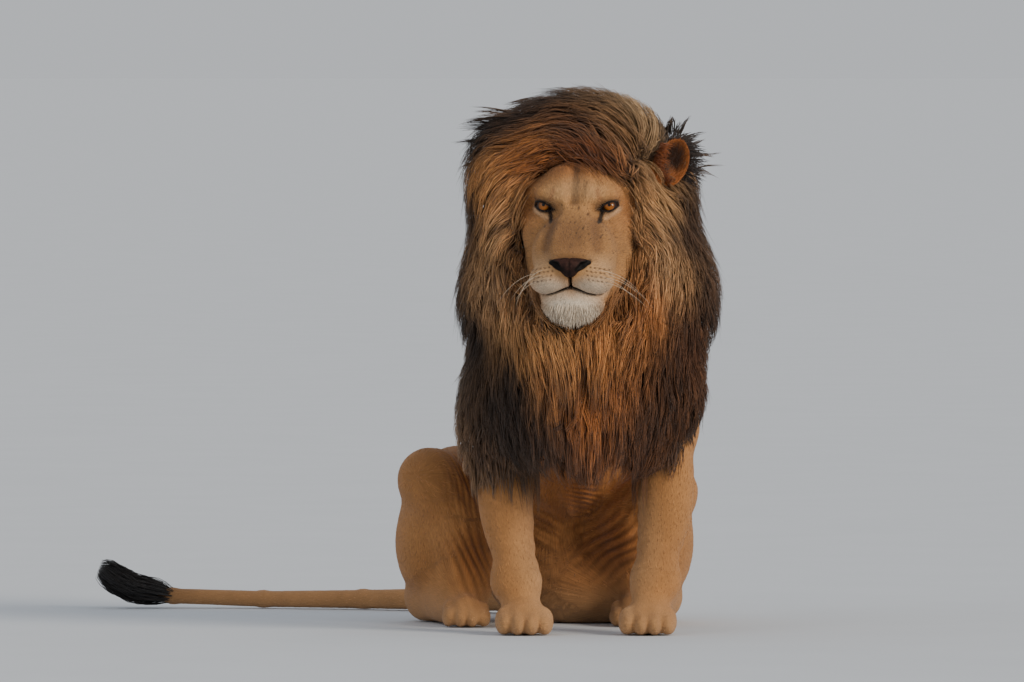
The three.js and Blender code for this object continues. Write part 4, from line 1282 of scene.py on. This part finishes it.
def combed(p, normals):
    """Which way short hair lies: back along the head, and down the trunk, legs and tail."""
    chart, _, _, way = unwrap(p)
    q = to_head(p)
    from_nose = unit((q - NOSE_TIP) * [1, 1, 0.9] + [0, 10, -14]) @ HEAD_TURN.T
    way = np.where((chart == 0)[:, None], from_nose, way)
    ear = np.linalg.norm(q - EAR_LEFT, axis=1) < 90
    way[ear] = unit(q[ear] - EAR_LEFT + [40, 10, 60]) @ HEAD_TURN.T
    return flattened(way, normals)


def short_coat(name, chosen, length, width, lift, slot, vary, rows=3, droop=0.0, ridge=0.45):
    """Small tufts that lie on the skin at chosen corners."""
    p, n = skin_corners[chosen], skin_normals[chosen]
    count = len(p)
    way = combed(p, n) + random.normal(0, 0.16, (count, 3))
    way[:, 2] -= droop
    way = flattened(way, n)
    p = p + random.uniform(-0.5, 0.5, (count, 1)) * unit(np.cross(way, n)) * width
    t = np.linspace(0, 1, rows)
    height = -0.5 + (lift[:, None] + 0.5) * t**1.5
    paths = p[:, None] + way[:, None] * (length[:, None] * t)[..., None]
    if not droop:
        paths = settle(skin_field, paths.reshape(-1, 3), 2).reshape(paths.shape)
    paths = paths + n[:, None] * height[..., None]
    paths[..., 2] = np.maximum(paths[..., 2], 1.5)
    shades = markings_and_shade(p)
    into_mane = 0.85 * ramp((mane_depth(p) + 22) / 44)
    into_mane = into_mane * (slot == "coat") * (from_ears(to_head(p)) > EAR_HAIR_REACH)
    # Each tuft is darker at its root, as painted shade among the hair, and a little lighter at its tip.
    shades = paint(shades, (mane_colour(p), into_mane))[:, None] * np.linspace(0.92, 1.1, rows)[None, :, None]
    shades = shades * random.normal(1, vary, count)[:, None, None]
    widths = width * random.uniform(0.7, 1.3, count)
    ups = np.repeat(n[:, None], rows, 1)
    add_coat(name, paths, ups, widths, widths * ridge, shades, fur_material)


def bare_skin(p):
    """Whether corners are ones that short hair leaves free: lids, lips, nose and wrinkled skin."""
    q = to_head(p)
    m = mirrored(q)
    rim = (slit(1)(m) < 4.5) & (np.linalg.norm(m - EYE_PLACE, axis=1) < 34)
    lips = (lip_gap(q) < 4) & (mouth_end(q) < 1)
    pad = np.linalg.norm((q - [0, -140, -122]) / [50, 40, 24], axis=1) < 1
    _, wrinkled = wrinkles(p)
    return rim | lips | pad | (wrinkled > 0.4)


def make_short_coat():
    thick = mane_depth(skin_corners)
    on_ear = from_ears(to_head(skin_corners)) < EAR_HAIR_REACH
    free = ((thick < 26) | on_ear) & ~bare_skin(skin_corners)
    index = np.arange(len(skin_corners))
    face = np.flatnonzero(free & (index < fine_count))
    rest = np.flatnonzero(free & (index >= fine_count))
    face = face[spread(skin_corners[face], FACE_FUR_APART)]
    rest = rest[spread(skin_corners[rest], BODY_FUR_APART)]
    face_length = 6 + 8 * ramp((to_head(skin_corners[face])[:, 1] + 20) / 120)
    face_length = face_length + 30 * ramp((thick[face] + 26) / 52) * ~on_ear[face]
    face_length = face_length * random.uniform(0.75, 1.25, len(face))
    rising = 0.04 + 0.55 * ramp(thick[face] / 26) * ~on_ear[face]  # to meet the mane
    short_coat("face_fur", face, face_length, 1.7, 0.3 + rising * face_length, "coat", vary=0.17)
    feet = np.clip(skin_corners[rest][:, 2] / 150, 0.45, 1)
    length = (15 * feet + 26 * ramp((thick[rest] + 20) / 46)) * random.uniform(0.75, 1.25, len(rest))
    short_coat("body_fur", rest, length, 2.4, length * 0.02, "coat", vary=0.08, ridge=0.26)


make_short_coat()


# -------- chin, ears, tuft and whiskers
def make_beard():
    """The pale tuft on the chin."""
    q = to_head(skin_corners)
    on_chin = (q[:, 2] < -196) & (q[:, 1] < -30) & (q[:, 2] > -262) & (np.abs(q[:, 0]) < 70)
    chosen = np.flatnonzero(on_chin)
    chosen = chosen[spread(skin_corners[chosen], CHIN_FUR_APART)]
    middle = 1 - (np.abs(to_head(skin_corners[chosen])[:, 0]) / 70) ** 2
    length = (9 + 19 * middle) * random.uniform(0.5, 1.2, len(chosen))
    short_coat("chin_fur", chosen, length, 1.9, length * 0.26, "pale_fur", rows=5, droop=1.1, vary=0.14)


make_beard()


def ear_hair(name, count, colour, length, behind):
    """Long hair of the left ear, across its cup from its inner edge or behind its rim."""
    rows = 6
    spots, ways = [], []
    for _ in range(count):
        angle = random.uniform(-1.4, 1.9) if behind else random.uniform(2.2, 4.6)
        share = random.uniform(0.75, 1.0)
        c, d = math.cos(angle), math.sin(angle)
        spots.append(EAR_LEFT + [c * 38 * share, 12 if behind else -4, d * 54 * share])
        ways.append([c * 0.4 + 0.7, 0.7, d * 0.5] if behind else [-c * 0.7 + 0.3, -0.5, -d * 0.5 + 0.5])
    spots = from_head(np.array(spots))
    ways = unit(np.array(ways) + random.normal(0, 0.28, (count, 3))) @ HEAD_TURN.T
    long = length * random.uniform(0.5, 1.1, (count, 1))
    t = np.linspace(0, 1, rows)
    paths = np.stack([spots + ways * long * share - np.array([0, 0, 9 * share * share]) for share in t], 1)
    ups = np.tile(unit(np.array([0.1, -1, 0.3])), (count, rows, 1))
    colours = np.tile(colour, (count, rows, 1)) * random.normal(1, 0.2, count)[:, None, None]
    widths = random.uniform(1.4, 2.4, count)
    add_coat(name, paths, ups, widths, widths * 0.4, colours, mane_material)


ear_hair("ear_hair", EAR_HAIRS, RUST * 0.8, 30, behind=False)
ear_hair("ear_back_hair", EAR_BACK_HAIRS, DARK, 46, behind=True)


def make_tuft():
    """The tail's black tuft, whose tip turns up."""
    line = np.array([TAIL_LINE[-2], TAIL_LINE[-1], [-1030, 1078, 66], [-1062, 1070, 90]], float)
    count, rows = TUFT_HAIRS, 6
    start = random.uniform(0, 0.5, count)
    reach = random.uniform(0.35, 0.62, count)
    share = start[:, None] + reach[:, None] * np.linspace(0, 1, rows)
    centre = along_rows(line[None], np.zeros(count, int), np.minimum(share, 1))
    ahead = unit(line[-1] - line[0])
    side = unit(np.cross(ahead, [0, 0, 1]))
    over = np.cross(side, ahead)
    angle = random.uniform(0, 2 * math.pi, (count, 1))
    out = np.cos(angle) * side + np.sin(angle) * over
    bow = 9 + 25 * np.sin(math.pi * ramp(0.12 + 0.8 * np.linspace(0, 1, rows)))
    paths = centre + out[:, None] * (bow * random.uniform(0.35, 1.0, (count, 1)))[..., None]
    paths[..., 2] = np.maximum(paths[..., 2], 2)
    colours = np.tile(BLACK, (count, rows, 1)) * random.uniform(0.7, 1.7, count)[:, None, None]
    widths = random.uniform(2.2, 4, count)
    ups = np.repeat(out[:, None], rows, 1)
    tuft = add_coat("tuft", paths, ups, widths, widths * 0.4, colours, mane_material)
    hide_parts("tail_tuft")


make_tuft()


def make_whiskers():
    """Long pale whiskers from the spots on each pad, which fan out and droop."""
    rows = 9
    t = np.linspace(0, 1, rows)
    starts, ways, lengths = [], [], []
    for s in (1, -1):
        for x, z in whisker_spots()[6::2]:
            if x < 50:
                continue
            starts.append([s * x, -128, z])
            ways.append([s, -0.1 + random.uniform(-0.15, 0.2), -0.12 + random.uniform(-0.25, 0.2)])
            lengths.append(random.uniform(75, 120) if s > 0 else random.uniform(45, 85))
    starts = settle(skin_field, from_head(np.array(starts)), 6)
    ways = unit(np.array(ways)) @ HEAD_TURN.T
    long = np.array(lengths)[:, None]
    droop = random.uniform(25, 60, (len(long), 1)) * [0, -0.2, 1]
    paths = np.stack([starts + ways * long * share - droop * share**2.2 for share in t], 1)
    ups = np.tile(np.array([0.0, -0.5, 0.85]), (len(paths), rows, 1))
    colours = np.tile(WHISKER, (len(paths), rows, 1))
    widths = np.full(len(paths), 0.8)
    add_coat("whiskers", paths, ups, widths, widths * 0.8, colours, fur_material)


make_whiskers()


# -------- nose and eyes
def nose_field(p):
    q = to_head(p)
    pad = blend(9, mass([0, -130, -114], [45, 22, 11]), mass([0, -136, -122], [32, 21, 12]),
                mass([0, -139, -132], [15, 15, 13]))
    cut = carve(3, pad, nostrils)(q)
    return -smooth_min(-cut, np.abs(q[:, 0]) - 0.6, 3)


def make_nose():
    low, high = EYE_MID + [-60, -180, -170], EYE_MID + [70, -80, -80]
    corners, faces = surface_of(nose_field, low, high, NOSE_STEP)
    corners = settle(nose_field, corners)
    q = to_head(corners)
    across = np.abs(q[:, 0])
    colours = paint(
        np.tile(NOSE, (len(q), 1)) * (1 + 0.35 * mottle(q, 11, 1))[:, None],
        # painted shade inside the nostrils
        (BLACK * 0.3, ramp((4 - nostrils(q)) / 3)),
        (BLACK, 0.5 * ramp((-124 - q[:, 2] + 0.55 * across) / 10)),  # lower edge
        (BLACK, 0.5 * ramp((across - 30) / 10)),  # outer edges
    )
    nose = add_mesh("nose_pad", corners, faces, nose_material(), colours)
    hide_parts("nose")


make_nose()

IRIS_ANGLE = math.radians(36)
PUPIL_ANGLE = math.radians(11)


def make_eye(side, s, material):
    """An eyeball, with the cornea's bulge and the iris's rings coloured corner by corner."""
    rings, spokes = EYE_RINGS, EYE_SPOKES
    tilt = np.linspace(0, math.pi, rings + 2)[1:-1, None]
    turn = np.linspace(0, 2 * math.pi, spokes, endpoint=False)[None, :]
    bulge = 1 + 0.05 * ramp(1 - (tilt / IRIS_ANGLE) ** 2)
    radius = (EYE_RADIUS - 0.5) * bulge
    out = radius * np.sin(tilt)
    ahead = -radius * np.cos(tilt) + 0 * turn
    ball = np.stack([out * np.cos(turn), ahead, out * np.sin(turn)], -1).reshape(-1, 3)
    corners = np.concatenate([ball, [[0, -radius[0, 0], 0], [0, radius[-1, 0], 0]]])
    front_pole, back_pole = np.full(spokes, len(ball)), np.full(spokes, len(ball) + 1)
    index = np.arange(rings * spokes).reshape(rings, spokes)
    following = np.roll(index, -1, axis=1)
    quads = np.stack([index[:-1], index[1:], following[1:], following[:-1]], -1).reshape(-1, 4)
    front = np.stack([front_pole, index[0], following[0]], -1)
    back = np.stack([back_pole, following[-1], index[-1]], -1)
    triangles = np.concatenate([quads[:, :3], quads[:, [0, 2, 3]], front, back])
    angle = np.arccos(np.clip(-corners[:, 1] / np.linalg.norm(corners, axis=1), -1, 1))
    round_eye = np.arctan2(corners[:, 2], corners[:, 0])
    fibre = np.sin(round_eye * 37 + 9 * angle) * np.sin(round_eye * 23 - 5 * angle)
    inside = angle / IRIS_ANGLE
    under_lid = 0.55 + 0.6 * ramp(0.35 - corners[:, 2] / 12)  # the upper lid's shade
    iris = IRIS * ((1.1 - 0.5 * inside**3 + 0.2 * fibre) * under_lid)[:, None]
    colours = paint(
        np.tile(EYEBALL, (len(corners), 1)),
        (iris, ramp((1 - inside) * 7)),
        (PUPIL, ramp((PUPIL_ANGLE - angle) / math.radians(1.5))),
    )
    look = turn_matrix((-13, 0, s * 3 + 3))
    placed = from_head(corners @ look.T + lay(s, EYE_PLACE))
    made = add_mesh(f"eyeball_{side}", placed, triangles, material, colours)
    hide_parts(f"eye_{side}")


shared_eye = eye_material()
make_eye("left", 1, shared_eye)
make_eye("right", -1, shared_eye)


# -------- stage, light and camera
FLOOR_HALF = 400  # metres
LENS = 401.8  # the camera's, for a sensor 36 mm wide
CAMERA_PLACE = [-155, -24000, 1237]
CAMERA_DOWN = 1.484  # degrees below level


def make_floor():
    h = FLOOR_HALF
    mesh = bpy.data.meshes.new("floor")
    mesh.from_pydata([(-h, -h, 0), (h, -h, 0), (h, h, 0), (-h, h, 0)], [], [(0, 1, 2, 3)])
    mesh.materials.append(floor_material())
    add_object("floor", mesh)


def add_sun(name, azimuth, elevation, strength, angle, colour):
    """Soft light from an azimuth, 0 in front and 90 from the lion's left."""
    lamp = bpy.data.lights.new(name, "SUN")
    lamp.energy, lamp.angle, lamp.color = strength, math.radians(angle), colour
    made = add_object(name, lamp)
    made.rotation_euler = (math.radians(90 - elevation), 0, math.radians(azimuth))


def make_light():
    world = bpy.data.worlds.new("studio")
    world.use_nodes = True
    background = world.node_tree.nodes["Background"]
    background.inputs["Color"].default_value = (0.56, 0.58, 0.607, 1)
    background.inputs["Strength"].default_value = 1.0
    bpy.context.scene.world = world
    add_sun("key", 52, 24, 2.5, 22, (1.0, 0.90, 0.76))
    add_sun("fill", -50, 24, 0.3, 40, (0.86, 0.92, 1.0))


def make_camera():
    data = bpy.data.cameras.new("camera")
    data.lens, data.sensor_width = LENS, 36
    data.clip_start, data.clip_end = 0.5, 2000
    camera = add_object("camera", data)
    camera.location = (np.array(CAMERA_PLACE) + SHIFT) * MM
    camera.rotation_euler = (math.radians(90 - CAMERA_DOWN), 0, 0)
    bpy.context.scene.camera = camera


make_floor()
make_light()
make_camera()
